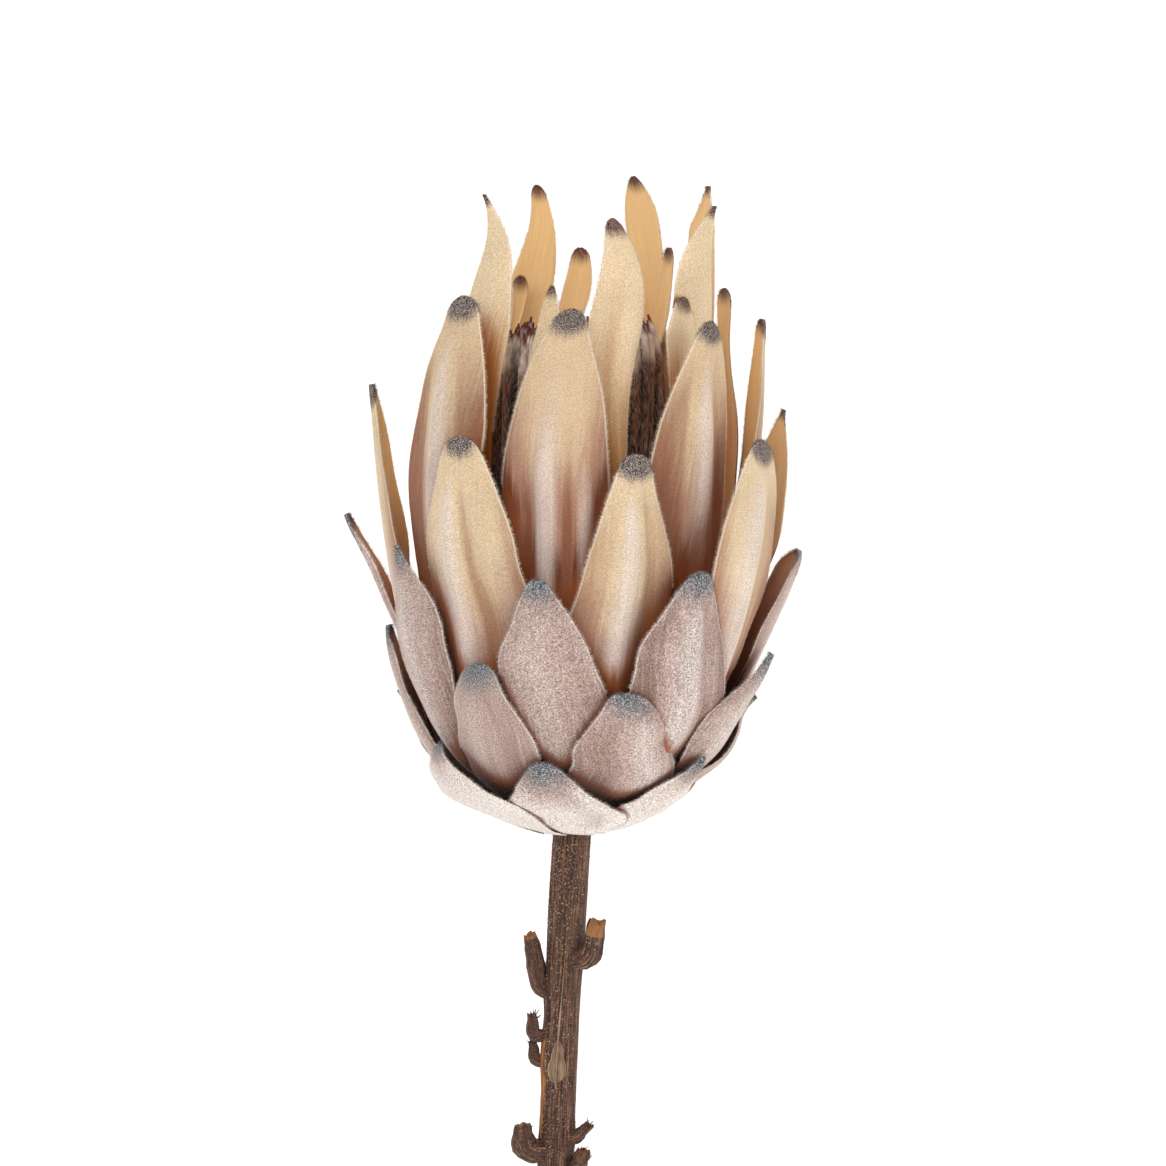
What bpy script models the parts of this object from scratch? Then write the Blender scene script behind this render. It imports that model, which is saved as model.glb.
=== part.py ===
"""Dried king protea: one cut flower lying on its back bracts and on the cut end of its stem.

The flower is modelled upright in its own axes, in millimetres: the stem runs along z, the head starts at
z = 0 and azimuth 0 looks towards -y. An empty then lays it down and turns millimetres into metres.
"""

import math
from dataclasses import dataclass

import bmesh
import bpy
import numpy as np

# ---------------------------------------------------------------- driving dimensions, in millimetres
MILLIMETRE = 0.001
SHARP_ANGLE = math.radians(50)

STEM_RADIUS = 4.5
STEM_LENGTH = 132.0
STEM_SIDES = 28
STEM_ROWS = 11
STEM_LEAN = -6.2            # sideways travel of the cut end
STUB_SIDES = 8
STUB_ROOT_REACH = 1.5       # a stub starts this far from the stem's axis, well inside the wood
END_SLANT = 3.0             # the oblique cut: one side of the end is this much longer

SEAT_GAP = 0.35             # clearance between a bract's foot and its seat on the receptacle
SEAT_HALF_HEIGHT = 0.7      # half the height of a seat, along the blade's thickness
BRACT_THICKNESS = 0.9
EDGE_THINNING = 0.45        # share of the thickness lost at a blade's margins
SMALLEST_HALF_WIDTH = 0.25
TIP_BLUNT_REACH = 3.5       # distance over which a tip's rounding fades
HOOK_REACH = 14.0           # length of the last part that a hook bends
BELLY_PLACE = 1.4           # above 1 puts a blade's extra swell past the middle of its length
ROW_CROWDING = 1.35         # above 1 brings a blade's rows closer together towards the tip
OVERLAP = 0.55              # how far a blade's right margin stands out, and its left one in, low down
BRACT_ROUGHNESS = 0.9

DOME = [(19.3, 28.3), (17.0, 30.4), (12.0, 32.6), (6.0, 33.7), (0.0, 34.0)]
FLORET_WALL = [(20.8, 40.0), (22.0, 58.0), (22.4, 82.0), (22.0, 98.0), (21.0, 108.5), (18.5, 115.0)]
FLORET_TOP = 119.0
FLORET_CLEARANCE = 0.6      # above the dome, so that the facets of both stay clear
FLORET_SIDES = 20
FLORET_LOBES = 5            # bundles side by side round the column
FLORET_LOBE_DEPTH = 0.05    # groove between two bundles, as a share of the radius
FLORET_LOBE_START = 34.0    # height where the grooves begin
FLORET_LOBE_FADE = 20.0     # height over which they reach full depth
FLORET_LOBE_TWIST = 0.05    # radians that the bundles turn in each millimetre of height

# Laying down: the axis rises from the cut end to the head by LAY_ANGLE, and the origin comes to the
# middle of the footprint, on the surface.
LAY_ANGLE = math.radians(12.4745)
ORIGIN_SHIFT = (0.295, -11.934, 32.906)


@dataclass(frozen=True)
class Ring:
    """One ring of bracts: what its blades share."""

    name: str
    knots: tuple            # midrib, as (radius, height), from the foot up to where blades part
    foot_half_width: float
    widest_at: float        # share of the length where the blade is widest
    taper: float            # larger keeps the blade broad for longer
    rows: int
    columns: int
    colour: tuple


@dataclass(frozen=True)
class Blade:
    """One bract: where it stands and how its own shape differs."""

    azimuth: float          # degrees
    reach: float            # tip's distance from the axis
    height: float           # tip's height
    half_width: float
    drift: float = 0.0      # degrees the tip swings round the axis
    blunt: float = 1.5      # roundness of the tip
    hook: float = 0.0       # sideways bend of the last part
    belly: float = 0.0      # extra outward swell
    taper: float | None = None      # where it differs from the ring's
    widest_at: float | None = None
    sway: float = 0.0       # sideways bow of the upper part, to the right
    twist: float = 0.0      # degrees that the upper part turns its left margin outwards
    waist: float = 1.0      # above 1 keeps the lower part narrow for longer
    slant: float = 0.0      # sideways shift of the lower part, to the right
    tilt: float = 1.0       # share of the usual overlap, right margin over the next blade's left one
    lift: float = 0.0       # extra distance outwards, all along


GREY = (0.40, 0.28, 0.25, 1.0)
TAN = (0.69, 0.51, 0.33, 1.0)
OCHRE = (0.62, 0.39, 0.16, 1.0)
WOOD = (0.115, 0.070, 0.050, 1.0)
WOOL = (0.055, 0.028, 0.022, 1.0)

SKIRT = Ring("skirt_bract", ((7.4, 0.7), (12.5, 2.2), (19.5, 4.9), (27.0, 8.9)),
             3.2, 0.55, 2.2, 8, 4, GREY)
LOWER = Ring("lower_bract", ((11.6, 4.8), (18.0, 7.6), (25.5, 12.0), (32.0, 18.5), (37.5, 27.0)),
             3.6, 0.62, 2.0, 8, 4, GREY)
MIDDLE = Ring("middle_bract", ((15.0, 8.2), (20.5, 11.2), (28.0, 17.0), (34.5, 25.5), (39.5, 38.0)),
              4.2, 0.60, 1.9, 9, 4, GREY)
UPPER = Ring("upper_bract", ((17.9, 12.0), (22.7, 15.8), (29.5, 24.0), (34.8, 36.0), (39.0, 55.0)),
             4.0, 0.50, 2.2, 10, 4, TAN)
TALL = Ring("tall_bract", ((20.2, 16.0), (24.0, 21.5), (29.0, 32.0), (32.5, 46.0), (35.8, 68.0)),
            4.2, 0.48, 2.5, 11, 4, TAN)
INNER = Ring("inner_bract", ((20.9, 20.6), (24.0, 27.4), (27.0, 40.0), (28.6, 56.0), (29.4, 80.0)),
             3.0, 0.84, 2.0, 11, 2, TAN)
HEART = Ring("heart_bract", ((20.5, 25.8), (22.5, 31.5), (24.6, 43.0), (25.9, 58.0), (26.3, 82.0)),
             2.2, 0.80, 2.0, 10, 2, OCHRE)

HEAD = {
    SKIRT: [
        Blade(-7.8, 32.5, 17.1, 13.5, drift=-8.3, blunt=3.2, hook=2.1, belly=1.3, taper=1.86,
              widest_at=0.35, sway=-1.8, slant=2.9, lift=0.5),
        Blade(52.1, 35.1, 17.7, 8.5, drift=5.2, blunt=0.8, hook=1, taper=2, widest_at=0.5, slant=-2, lift=0.55),
        Blade(118, 34, 17, 10.8),
        Blade(180, 33, 17, 11.5),
        Blade(-121.5, 34, 17, 10.8),
        Blade(-66.4, 39.2, 21.3, 12, drift=11.1, blunt=0.3, hook=4.6, belly=2, taper=1.05, widest_at=0.47,
              sway=1.5, slant=3.7, lift=0.9),
    ],
    LOWER: [
        Blade(-38.5, 41.5, 39.2, 10.4, drift=9.5, blunt=4.2, hook=-1.2, belly=-0.6, taper=2.65,
              widest_at=0.39, sway=1.1, slant=2.5, lift=0.5),
        Blade(25, 41, 32.6, 13.6, drift=-3.9, blunt=4.5, hook=-3.3, belly=0.9, taper=2.52, widest_at=0.35,
              sway=-2.6, slant=0.6, lift=0.8),
        Blade(68.4, 46.7, 41, 7.8, drift=13.8, hook=-1.3, belly=1.6, taper=1.05, widest_at=0.69, sway=-2,
              slant=-1.5, lift=0.4),
        Blade(105, 42.6, 31, 5.6, drift=-12.8, blunt=0.8, belly=2.6, sway=4.5, slant=-5.2),
        Blade(153, 42, 36, 10.5, lift=0.4),
        Blade(-169, 41, 36, 9.6),
        Blade(-132.4, 41.7, 32.3, 7.6, drift=22.7, belly=2),
        Blade(-96.1, 44.6, 47.5, 11.2, drift=-10.7, blunt=2.2, hook=1.6, belly=-1.1, taper=1.16,
              widest_at=0.53, sway=-0.4, slant=1.8),
    ],
    MIDDLE: [
        Blade(-4.6, 46.5, 58.1, 11.8, drift=-6.7, blunt=2.4, hook=1.3, taper=1.81, widest_at=0.56, sway=-2,
              slant=0.8),
        Blade(39.5, 47.5, 59.6, 14.8, drift=-4.9, blunt=3.4, hook=3.3, belly=3.4, taper=2.63,
              widest_at=0.36, sway=-2, slant=1.2),
        Blade(93, 53, 64.7, 12.3, drift=-3.6, blunt=0.9, hook=4.8, belly=0.9, taper=3.63, widest_at=0.89,
              sway=-2.4, slant=1.2),
        Blade(125.4, 49, 62, 6.3, belly=2),
        Blade(158.2, 51.3, 67, 11),
        Blade(-157, 52, 67, 11),
        Blade(-106.5, 55.2, 73.3, 8, drift=-4.5, hook=4.8, belly=-2.9, taper=1.05, widest_at=0.32, sway=4,
              slant=-0.1),
        Blade(-60.9, 46.5, 65.7, 11.4, drift=7.3, blunt=1.2, hook=-4.8, belly=0.3, taper=1.11,
              widest_at=0.72, sway=-2, slant=1.1),
    ],
    UPPER: [
        Blade(-36.7, 45.3, 89.9, 14.4, drift=2.9, blunt=4.2, hook=-0.3, taper=3.83, widest_at=0.3,
              sway=-2.3, slant=2.6),
        Blade(17.9, 44, 85.8, 13.2, drift=2, blunt=3.6, hook=-0.2, taper=2.61, widest_at=0.3, sway=1.3,
              slant=-0.8),
        Blade(65.2, 50.1, 89.3, 13.1, drift=-0.9, blunt=4.5, hook=-4.2, belly=7.1, taper=2.07,
              widest_at=0.76, sway=-1.7, slant=-4.4, lift=-0.4),
        Blade(109.3, 53.8, 97.8, 9, drift=2, blunt=0.6, hook=0.1, belly=3.8, taper=2.62, widest_at=0.61,
              sway=-3.6, twist=12, slant=1.3),
        Blade(158, 46, 92, 11, blunt=2),
        Blade(-145, 46, 92, 11, blunt=2),
        Blade(-97.1, 47.4, 103.3, 11.7, drift=-6.4, blunt=1.9, hook=4.2, belly=0.6, taper=1.05,
              widest_at=0.62, sway=-2.1, slant=5.4),
    ],
    TALL: [
        Blade(-6.6, 38.5, 118.3, 12.7, drift=6, blunt=3.1, hook=0.2, taper=4.66, widest_at=0.3, sway=-0.6,
              slant=-0.1),
        Blade(50, 41, 116.1, 13.8, drift=-0.3, blunt=3.3, hook=0.6, belly=1.2, taper=4.36, widest_at=0.36,
              sway=0.1, slant=-2.9),
        Blade(97.2, 47.3, 118.7, 6.3, drift=11.1, blunt=2.7, hook=0.3, belly=3.1, taper=2.97,
              widest_at=0.49, sway=-1.9, slant=0.2),
        Blade(121.6, 42.4, 126.5, 4.8, drift=1.4, blunt=2.8, belly=3.2, taper=1.05, widest_at=0.58,
              sway=-0.3, slant=-3.3),
        Blade(163, 38, 114, 11, blunt=2),
        Blade(-150, 38, 114, 11, blunt=2),
        Blade(-102, 33, 96, 7.4, blunt=2),
        Blade(-53.6, 37, 121.8, 16.4, drift=13.7, blunt=4.3, hook=-1.7, belly=2.4, taper=3.84,
              widest_at=0.3, sway=1.2, slant=-6.5),
    ],
    INNER: [
        Blade(-11.7, 28.5, 124.1, 6.4, drift=2.7, blunt=0.9, hook=0.2, taper=1.23, widest_at=0.76,
              sway=-0.5, slant=0.6),
        Blade(25.2, 29, 139.3, 6.5, drift=-1.9, blunt=1.9, hook=-2.1, taper=2.09, widest_at=0.79,
              sway=-2.4, waist=3, slant=-3.2),
        Blade(55.2, 31, 122.1, 5.3, drift=0.2, blunt=3.3, hook=0.3, taper=1.05, widest_at=0.91, sway=2.4,
              waist=1.88, slant=2.8, lift=0.4),
        Blade(104.5, 32.5, 149.1, 6.7, drift=1, blunt=0.3, hook=-3.8, belly=1.2, taper=1.05,
              widest_at=0.93, sway=-4.5, twist=10, waist=0.5, slant=2),
        Blade(136.5, 27, 152.9, 4.8, drift=8, hook=1, taper=2.36, widest_at=0.91, sway=4.5, waist=0.5,
              slant=-7),
        Blade(-158.6, 28, 151.2, 5.6, drift=-9.8, blunt=1.7, hook=3, taper=1.18, widest_at=0.83, sway=1.9,
              slant=5.4),
        Blade(-118, 28, 116, 5),
        Blade(-82, 28, 110, 5),
        Blade(-41.3, 29.5, 145.1, 8.1, drift=9.8, blunt=0.3, hook=-5.8, taper=1.05, widest_at=0.76,
              sway=-0.4, waist=0.5, slant=-6.8),
    ],
    HEART: [
        Blade(-147.1, 25.5, 129.5, 1.9, drift=-5, blunt=2.1, hook=0.5, taper=1.05, widest_at=0.44,
              sway=4.5, slant=8.2),
        Blade(53.5, 35, 143.1, 7.1, drift=7.6, blunt=0.3, hook=5.8, taper=2.71, widest_at=0.68, sway=4.5,
              twist=-14, slant=7.2),
        Blade(130.7, 26.5, 135.4, 3.5, drift=-12.3, blunt=2.2, hook=0.4, taper=1.89, widest_at=0.75,
              sway=4.5, slant=8.2),
        Blade(181.7, 26, 136.4, 3.2, drift=-8, blunt=2, hook=1.1, taper=1.48, widest_at=0.9, sway=4.5,
              waist=1.05, slant=8.2),
        Blade(-112, 25, 118, 3.4),
        Blade(-82, 25, 114, 3),
    ],
}


@dataclass(frozen=True)
class Stub:
    """What is left of a broken leaf stalk: a short tapered prism grown out of the stem."""

    height: float           # of its root, on the stem's axis
    azimuth: float
    root: tuple             # thickness (round the stem, along the stem)
    tip: tuple              # thickness at the broken end
    reach: float            # how far the broken end stands from the stem's axis
    rise: float             # how far the broken end stands above the root


STUBS = (
    Stub(-29.5, 68, (5.6, 8.0), (4.4, 3.4), 8.0, 8.6),
    Stub(-32.0, -84, (5.2, 11.0), (3.6, 6.0), 8.6, 4.6),
    Stub(-45.0, -72, (3.8, 4.6), (2.6, 2.6), 7.6, 2.4),
    Stub(-51.5, -86, (3.6, 4.2), (2.4, 2.2), 7.0, 1.4),
    Stub(-72.5, -74, (5.4, 6.4), (4.6, 4.2), 9.0, 2.8),
    Stub(-71.5, 70, (4.4, 7.0), (3.0, 3.4), 8.0, 4.0),
    Stub(-97.0, 24, (5.0, 7.0), (3.6, 3.4), 7.8, 4.0),
    Stub(-108.0, -100, (4.6, 6.0), (3.4, 3.0), 7.8, 3.0),
)


# ---------------------------------------------------------------- shared helpers
def clear_scene():
    """Remove every object, so that the file holds only the flower."""
    for scene_object in list(bpy.data.objects):
        bpy.data.objects.remove(scene_object, do_unlink=True)


def principled(name, colour, roughness):
    """A matt plant material with its own colour."""
    material = bpy.data.materials.new(name)
    material.use_nodes = True
    shader = material.node_tree.nodes["Principled BSDF"]
    shader.inputs["Base Color"].default_value = colour
    shader.inputs["Roughness"].default_value = roughness
    shader.inputs["Metallic"].default_value = 0.0
    material.diffuse_color = colour
    return material


def add_piece(name, mesh, colour, roughness, parent):
    """Put a finished mesh in the scene as one named piece of the flower."""
    piece = bpy.data.objects.new(name, mesh)
    bpy.context.collection.objects.link(piece)
    mesh.materials.append(principled(name, colour, roughness))
    mesh.shade_smooth()
    mesh.set_sharp_from_angle(angle=SHARP_ANGLE)
    piece.parent = parent
    return piece


def smooth_curve(knots, shares):
    """Points on the natural cubic spline through the knots, at the given shares of its length."""
    points = np.array(knots, dtype=float)
    steps = np.sqrt(np.linalg.norm(np.diff(points, axis=0), axis=1))
    marks = np.concatenate([[0.0], np.cumsum(steps)])
    count = len(points)
    system = np.eye(count)
    target = np.zeros_like(points)
    for i in range(1, count - 1):
        before, after = steps[i - 1], steps[i]
        system[i, i - 1:i + 2] = before, 2 * (before + after), after
        target[i] = 6 * ((points[i + 1] - points[i]) / after - (points[i] - points[i - 1]) / before)
    bend = np.linalg.solve(system, target)

    def evaluate(mark):
        i = np.clip(np.searchsorted(marks, mark, side="right") - 1, 0, count - 2)
        span = steps[i][:, None]
        a = (marks[i + 1] - mark)[:, None] / span
        b = 1.0 - a
        curved = ((a ** 3 - a) * bend[i] + (b ** 3 - b) * bend[i + 1]) * span ** 2 / 6
        return a * points[i] + b * points[i + 1] + curved

    fine = np.linspace(0.0, marks[-1], 240)
    travel = np.linalg.norm(np.diff(evaluate(fine), axis=0), axis=1)
    length = np.concatenate([[0.0], np.cumsum(travel)])
    return evaluate(np.interp(np.asarray(shares) * length[-1], length, fine)), length[-1]


def mesh_from_grid(name, outer, inner):
    """Close two facing grids of points, the same size, into one thin solid."""
    rows, columns = outer.shape[0], outer.shape[1]
    shape = bmesh.new()
    front = [[shape.verts.new(point) for point in row] for row in outer]
    back = [[shape.verts.new(point) for point in row] for row in inner]
    for i in range(rows - 1):
        for j in range(columns - 1):
            shape.faces.new((front[i][j], front[i][j + 1], front[i + 1][j + 1], front[i + 1][j]))
            shape.faces.new((back[i][j], back[i + 1][j], back[i + 1][j + 1], back[i][j + 1]))
        shape.faces.new((front[i][0], front[i + 1][0], back[i + 1][0], back[i][0]))
        shape.faces.new((front[i][-1], back[i][-1], back[i + 1][-1], front[i + 1][-1]))
    for j in range(columns - 1):
        shape.faces.new((front[0][j], back[0][j], back[0][j + 1], front[0][j + 1]))
        shape.faces.new((front[-1][j], front[-1][j + 1], back[-1][j + 1], back[-1][j]))
    return finished_mesh(name, shape)


def finished_mesh(name, shape):
    """Turn the bmesh's faces outwards and hand it over as a mesh."""
    bmesh.ops.recalc_face_normals(shape, faces=shape.faces)
    mesh = bpy.data.meshes.new(name)
    shape.to_mesh(mesh)
    shape.free()
    return mesh


# ---------------------------------------------------------------- bracts
def step_between(value, low, high):
    """Smooth rise from 0 at low to 1 at high."""
    share = np.clip((value - low) / (high - low), 0.0, 1.0)
    return share * share * (3.0 - 2.0 * share)


def blade_shares(rows):
    """Shares of the length for a blade's rows, closer together towards the tip."""
    return 1.0 - (1.0 - np.linspace(0.0, 1.0, rows + 1)) ** ROW_CROWDING


def blade_widths(ring, blade, shares, length):
    """Half-widths of a blade: a narrow foot, a broad middle and a tip that is blunt or needle-like."""
    widest_at = blade.widest_at or ring.widest_at
    rise = np.clip(shares / widest_at, 0.0, 1.0) ** blade.waist
    swell = rise * rise * (3.0 - 2.0 * rise)
    fall = np.clip((shares - widest_at) / (1.0 - widest_at), 0.0, 1.0)
    below = ring.foot_half_width + (blade.half_width - ring.foot_half_width) * swell
    above = blade.half_width * (1.0 - fall ** (blade.taper or ring.taper))
    from_tip = (1.0 - shares) * length / TIP_BLUNT_REACH
    rounding = blade.blunt ** 2 * from_tip * np.exp(1.0 - from_tip)
    widths = np.sqrt(np.where(shares < widest_at, below, above) ** 2 + rounding)
    return np.maximum(widths, SMALLEST_HALF_WIDTH)


def blade_surface(ring, blade):
    """Middle surface of a blade at azimuth 0, and each point's place across it from -1 to 1."""
    shares = blade_shares(ring.rows)
    midrib, length = smooth_curve(ring.knots + ((blade.reach, blade.height),), shares)
    widths = blade_widths(ring, blade, shares, length)
    across = np.linspace(-1.0, 1.0, ring.columns + 1)[None, :]
    free = step_between(shares, 0.05, 0.3)
    swell = blade.belly * np.sin(math.pi * shares ** BELLY_PLACE) ** 2 + blade.lift * free
    radius = (midrib[:, 0] + swell)[:, None]
    near_tip = np.clip(1.0 - (1.0 - shares) * length / HOOK_REACH, 0.0, 1.0)
    bend = blade.hook * near_tip ** 2 + blade.sway * np.sin(math.pi * step_between(shares, 0.35, 1.0)) ** 2
    bend = bend + blade.slant * np.sin(math.pi * shares) ** 2
    turn = (across * widths[:, None] + bend[:, None]) / radius
    turn = turn + np.radians(blade.drift) * shares[:, None] ** 3
    height = midrib[:, 1][:, None] + 0.0 * across
    surface = np.stack([radius * np.sin(turn), -radius * np.cos(turn), height], axis=-1)
    share = shares[:, None]
    overlap = OVERLAP * blade.tilt * across * step_between(share, 0.0, 0.12) * (1.0 - step_between(share, 0.3, 0.75))
    turned = -math.sin(math.radians(blade.twist)) * across * widths[:, None] * step_between(share, 0.25, 0.7)
    return surface + surface_normals(surface) * (overlap + turned)[..., None], across


def surface_normals(grid):
    """Unit normals of a grid of points."""
    along = np.gradient(grid, axis=0)
    across = np.gradient(grid, axis=1)
    normals = np.cross(across, along)
    return normals / np.linalg.norm(normals, axis=-1, keepdims=True)


def make_bract(ring, number, blade, parent):
    """One bract as a thin closed blade, turned to its azimuth."""
    middle, across = blade_surface(ring, blade)
    half = 0.5 * BRACT_THICKNESS * (1.0 - EDGE_THINNING * across ** 2)[..., None]
    offset = surface_normals(middle) * half
    name = f"{ring.name}_{number}"
    mesh = mesh_from_grid(name, middle + offset, middle - offset)
    bract = add_piece(name, mesh, ring.colour, BRACT_ROUGHNESS, parent)
    bract.rotation_euler.z = math.radians(blade.azimuth)


# ---------------------------------------------------------------- stem and receptacle
def seat_profile(ring):
    """The two ends of the seat that a ring's feet face, as (radius, height)."""
    foot, after = smooth_curve(ring.knots, [0.0, 0.02])[0]
    along = (after - foot) / np.linalg.norm(after - foot)
    normal = np.array([-along[1], along[0]])
    seat = foot - SEAT_GAP * along
    return [tuple(seat - SEAT_HALF_HEIGHT * normal), tuple(seat + SEAT_HALF_HEIGHT * normal)]


def receptacle_profile():
    """Outline of the receptacle above the stem: a seat for each ring, then the dome."""
    outline = [(5.6, 0.2)]
    for ring in HEAD:
        outline += seat_profile(ring)
    return outline + DOME


def stem_centre(height):
    """Where the stem's axis passes at a height below the head: it bends gently to one side."""
    share = np.clip(-height / STEM_LENGTH, 0.0, 1.0)
    return STEM_LEAN * (0.35 * share + 0.65 * share ** 1.5), 0.0


def lathe(name, outline, sides, radius_at=None):
    """Turn an outline that ends on the axis at both ends into a closed solid."""
    shape = bmesh.new()
    rings = []
    for radius, height in outline:
        x, y = stem_centre(height)
        if radius == 0.0:
            rings.append([shape.verts.new((x, y, height))])
            continue
        turns = [math.tau * k / sides for k in range(sides)]
        scales = [radius * (radius_at(turn, height) if radius_at else 1.0) for turn in turns]
        ring = [(x + r * math.sin(t), y - r * math.cos(t), height) for t, r in zip(turns, scales)]
        rings.append([shape.verts.new(point) for point in ring])
    for low, high in zip(rings, rings[1:]):
        for k in range(sides):
            after = (k + 1) % sides
            corners = [low[k % len(low)], low[after % len(low)]]
            corners += [high[after % len(high)], high[k % len(high)]]
            shape.faces.new(dict.fromkeys(corners))
    return finished_mesh(name, shape)


def stem_mesh():
    """Stem and receptacle in one outline, from the cut end up to the dome."""
    heights = np.linspace(-STEM_LENGTH, -1.2, STEM_ROWS)
    outline = [(0.0, -STEM_LENGTH)]
    outline += [(STEM_RADIUS, height) for height in heights]
    outline += receptacle_profile()
    mesh = lathe("stem", outline, STEM_SIDES)
    for vertex in mesh.vertices:
        if vertex.co.z < -STEM_LENGTH + 0.01:
            side = (vertex.co.x - stem_centre(vertex.co.z)[0]) / STEM_RADIUS
            vertex.co.z += END_SLANT * 0.5 * side
    return mesh


def stub_mesh(stub):
    """A tapered prism from inside the stem out to the broken end."""
    turn = math.radians(stub.azimuth)
    outward = np.array([math.sin(turn), -math.cos(turn), 0.0])
    sideways = np.array([math.cos(turn), math.sin(turn), 0.0])
    upward = np.array([0.0, 0.0, 1.0])
    x, y = stem_centre(stub.height)
    axis = np.array([x, y, stub.height])
    shape = bmesh.new()
    ends = []
    for reach, rise, (wide, tall) in ((STUB_ROOT_REACH, 0.0, stub.root), (stub.reach, stub.rise, stub.tip)):
        centre = axis + outward * reach + upward * rise
        corners = []
        for k in range(STUB_SIDES):
            angle = math.tau * (k + 0.5) / STUB_SIDES
            across = sideways * (0.5 * wide * math.cos(angle))
            along = upward * (0.5 * tall * math.sin(angle))
            corners.append(shape.verts.new(centre + across + along))
        ends.append(corners)
    for k in range(STUB_SIDES):
        after = (k + 1) % STUB_SIDES
        shape.faces.new((ends[0][k], ends[0][after], ends[1][after], ends[1][k]))
    shape.faces.new(ends[0])
    shape.faces.new(ends[1])
    return finished_mesh("stub", shape)


def make_stem(parent):
    """The woody stem with its receptacle and leaf stubs, grown together as one solid."""
    stem = add_piece("stem", stem_mesh(), WOOD, 0.85, parent)
    for number, stub in enumerate(STUBS, start=1):
        cutter = bpy.data.objects.new(f"stub_{number}", stub_mesh(stub))
        bpy.context.collection.objects.link(cutter)
        cutter.parent = parent
        cutter.hide_render = True
        cutter.display_type = "WIRE"
        union = stem.modifiers.new(f"grow_stub_{number}", "BOOLEAN")
        union.operation = "UNION"
        union.solver = "EXACT"
        union.object = cutter


# ---------------------------------------------------------------- florets
def make_floret_mass(parent):
    """The packed woolly florets as one bundled column that stands on the receptacle's dome."""
    floor = [(radius, height + FLORET_CLEARANCE) for radius, height in reversed(DOME)]
    outline = floor + FLORET_WALL + [(0.0, FLORET_TOP)]

    def bundled(turn, height):
        share = np.clip((height - FLORET_LOBE_START) / FLORET_LOBE_FADE, 0.0, 1.0)
        groove = 0.5 - 0.5 * math.cos(FLORET_LOBES * turn + FLORET_LOBE_TWIST * height)
        return 1.0 - FLORET_LOBE_DEPTH * share * groove

    mesh = lathe("floret_mass", outline, FLORET_SIDES, bundled)
    add_piece("floret_mass", mesh, WOOL, 0.95, parent)


def main():
    """Build the flower upright and lay it down."""
    clear_scene()
    flower = bpy.data.objects.new("flower", None)
    bpy.context.collection.objects.link(flower)
    flower.rotation_euler.x = LAY_ANGLE - math.pi / 2
    flower.scale = (MILLIMETRE, MILLIMETRE, MILLIMETRE)
    flower.location = [MILLIMETRE * shift for shift in ORIGIN_SHIFT]
    make_stem(flower)
    make_floret_mass(flower)
    for ring, blades in HEAD.items():
        for number, blade in enumerate(blades, start=1):
            make_bract(ring, number, blade, flower)
    bpy.context.view_layer.update()


main()
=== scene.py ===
"""Dried king protea, dressed: velvet bracts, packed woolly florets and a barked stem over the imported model.

Shapes are worked out upright, in millimetres: the stem runs along z, the head starts at z = 0, azimuth 0
looks towards -y and grows towards +x. Lay.place() lays them down and turns them into the row's metres.
"""

import logging
import math
from dataclasses import dataclass, field, replace
from enum import Enum

import bpy
import numpy as np
from mathutils import Matrix, Vector, noise
from mathutils.bvhtree import BVHTree


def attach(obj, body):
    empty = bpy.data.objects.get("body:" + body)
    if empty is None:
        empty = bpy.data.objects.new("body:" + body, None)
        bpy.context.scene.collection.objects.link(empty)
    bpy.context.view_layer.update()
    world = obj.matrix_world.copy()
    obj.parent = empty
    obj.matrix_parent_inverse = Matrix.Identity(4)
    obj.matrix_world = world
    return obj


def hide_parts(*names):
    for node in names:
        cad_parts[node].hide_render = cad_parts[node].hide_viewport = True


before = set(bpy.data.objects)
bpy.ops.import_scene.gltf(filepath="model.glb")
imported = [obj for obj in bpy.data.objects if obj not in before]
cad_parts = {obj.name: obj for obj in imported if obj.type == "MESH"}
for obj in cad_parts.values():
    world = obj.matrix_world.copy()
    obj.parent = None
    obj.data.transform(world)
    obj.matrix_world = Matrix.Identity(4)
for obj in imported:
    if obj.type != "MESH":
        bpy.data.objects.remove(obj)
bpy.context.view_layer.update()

LOG = logging.getLogger("king_protea")
MILLIMETRE = 0.001
BODY = "root"
GREY_VELVET, TAN_VELVET, FLORET_WOOL, STEM_WOOD = "grey_velvet", "tan_velvet", "floret_wool", "stem_wood"

# Mesh attributes that the finishes read, all in millimetres except the shares and tones.
PLACE = "blade_place"       # across the blade, along it from the foot, and the blade's own number
EDGE = "blade_edge"         # to the tip, to the margin, and how far a fold stands out
SHELTER = "blade_shelter"   # how far a spot is closed in by other bracts, from 0 open to 1 shut away
STRAND = "strand_tone"      # a fibre's tone, from 0 dark to 1 light
BARK = "bark_place"         # round the stem, along it, and out from its axis

# The blades' shape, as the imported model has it.
HOOK_REACH = 14.0           # length of the last part that a hook bends
TIP_BLUNT_REACH = 3.5       # distance over which a tip's rounding fades
SMALLEST_HALF_WIDTH = 0.25
BELLY_PLACE = 1.4
ROW_CROWDING = 1.35

FLOOR_CLEARANCE = 0.15
GOLDEN_TURN = math.pi * (3.0 - math.sqrt(5.0))
NEEDLE_CAP = 0.7            # how much smaller the dark cap of a needle-like tip is
FLAT_START, FLAT_SPAN = 0.02, 0.96      # the part of the flat layout that faces may take
BLADE_LAYOUT_SEED, HAIR_LAYOUT_SEED = 1, 5


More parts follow.
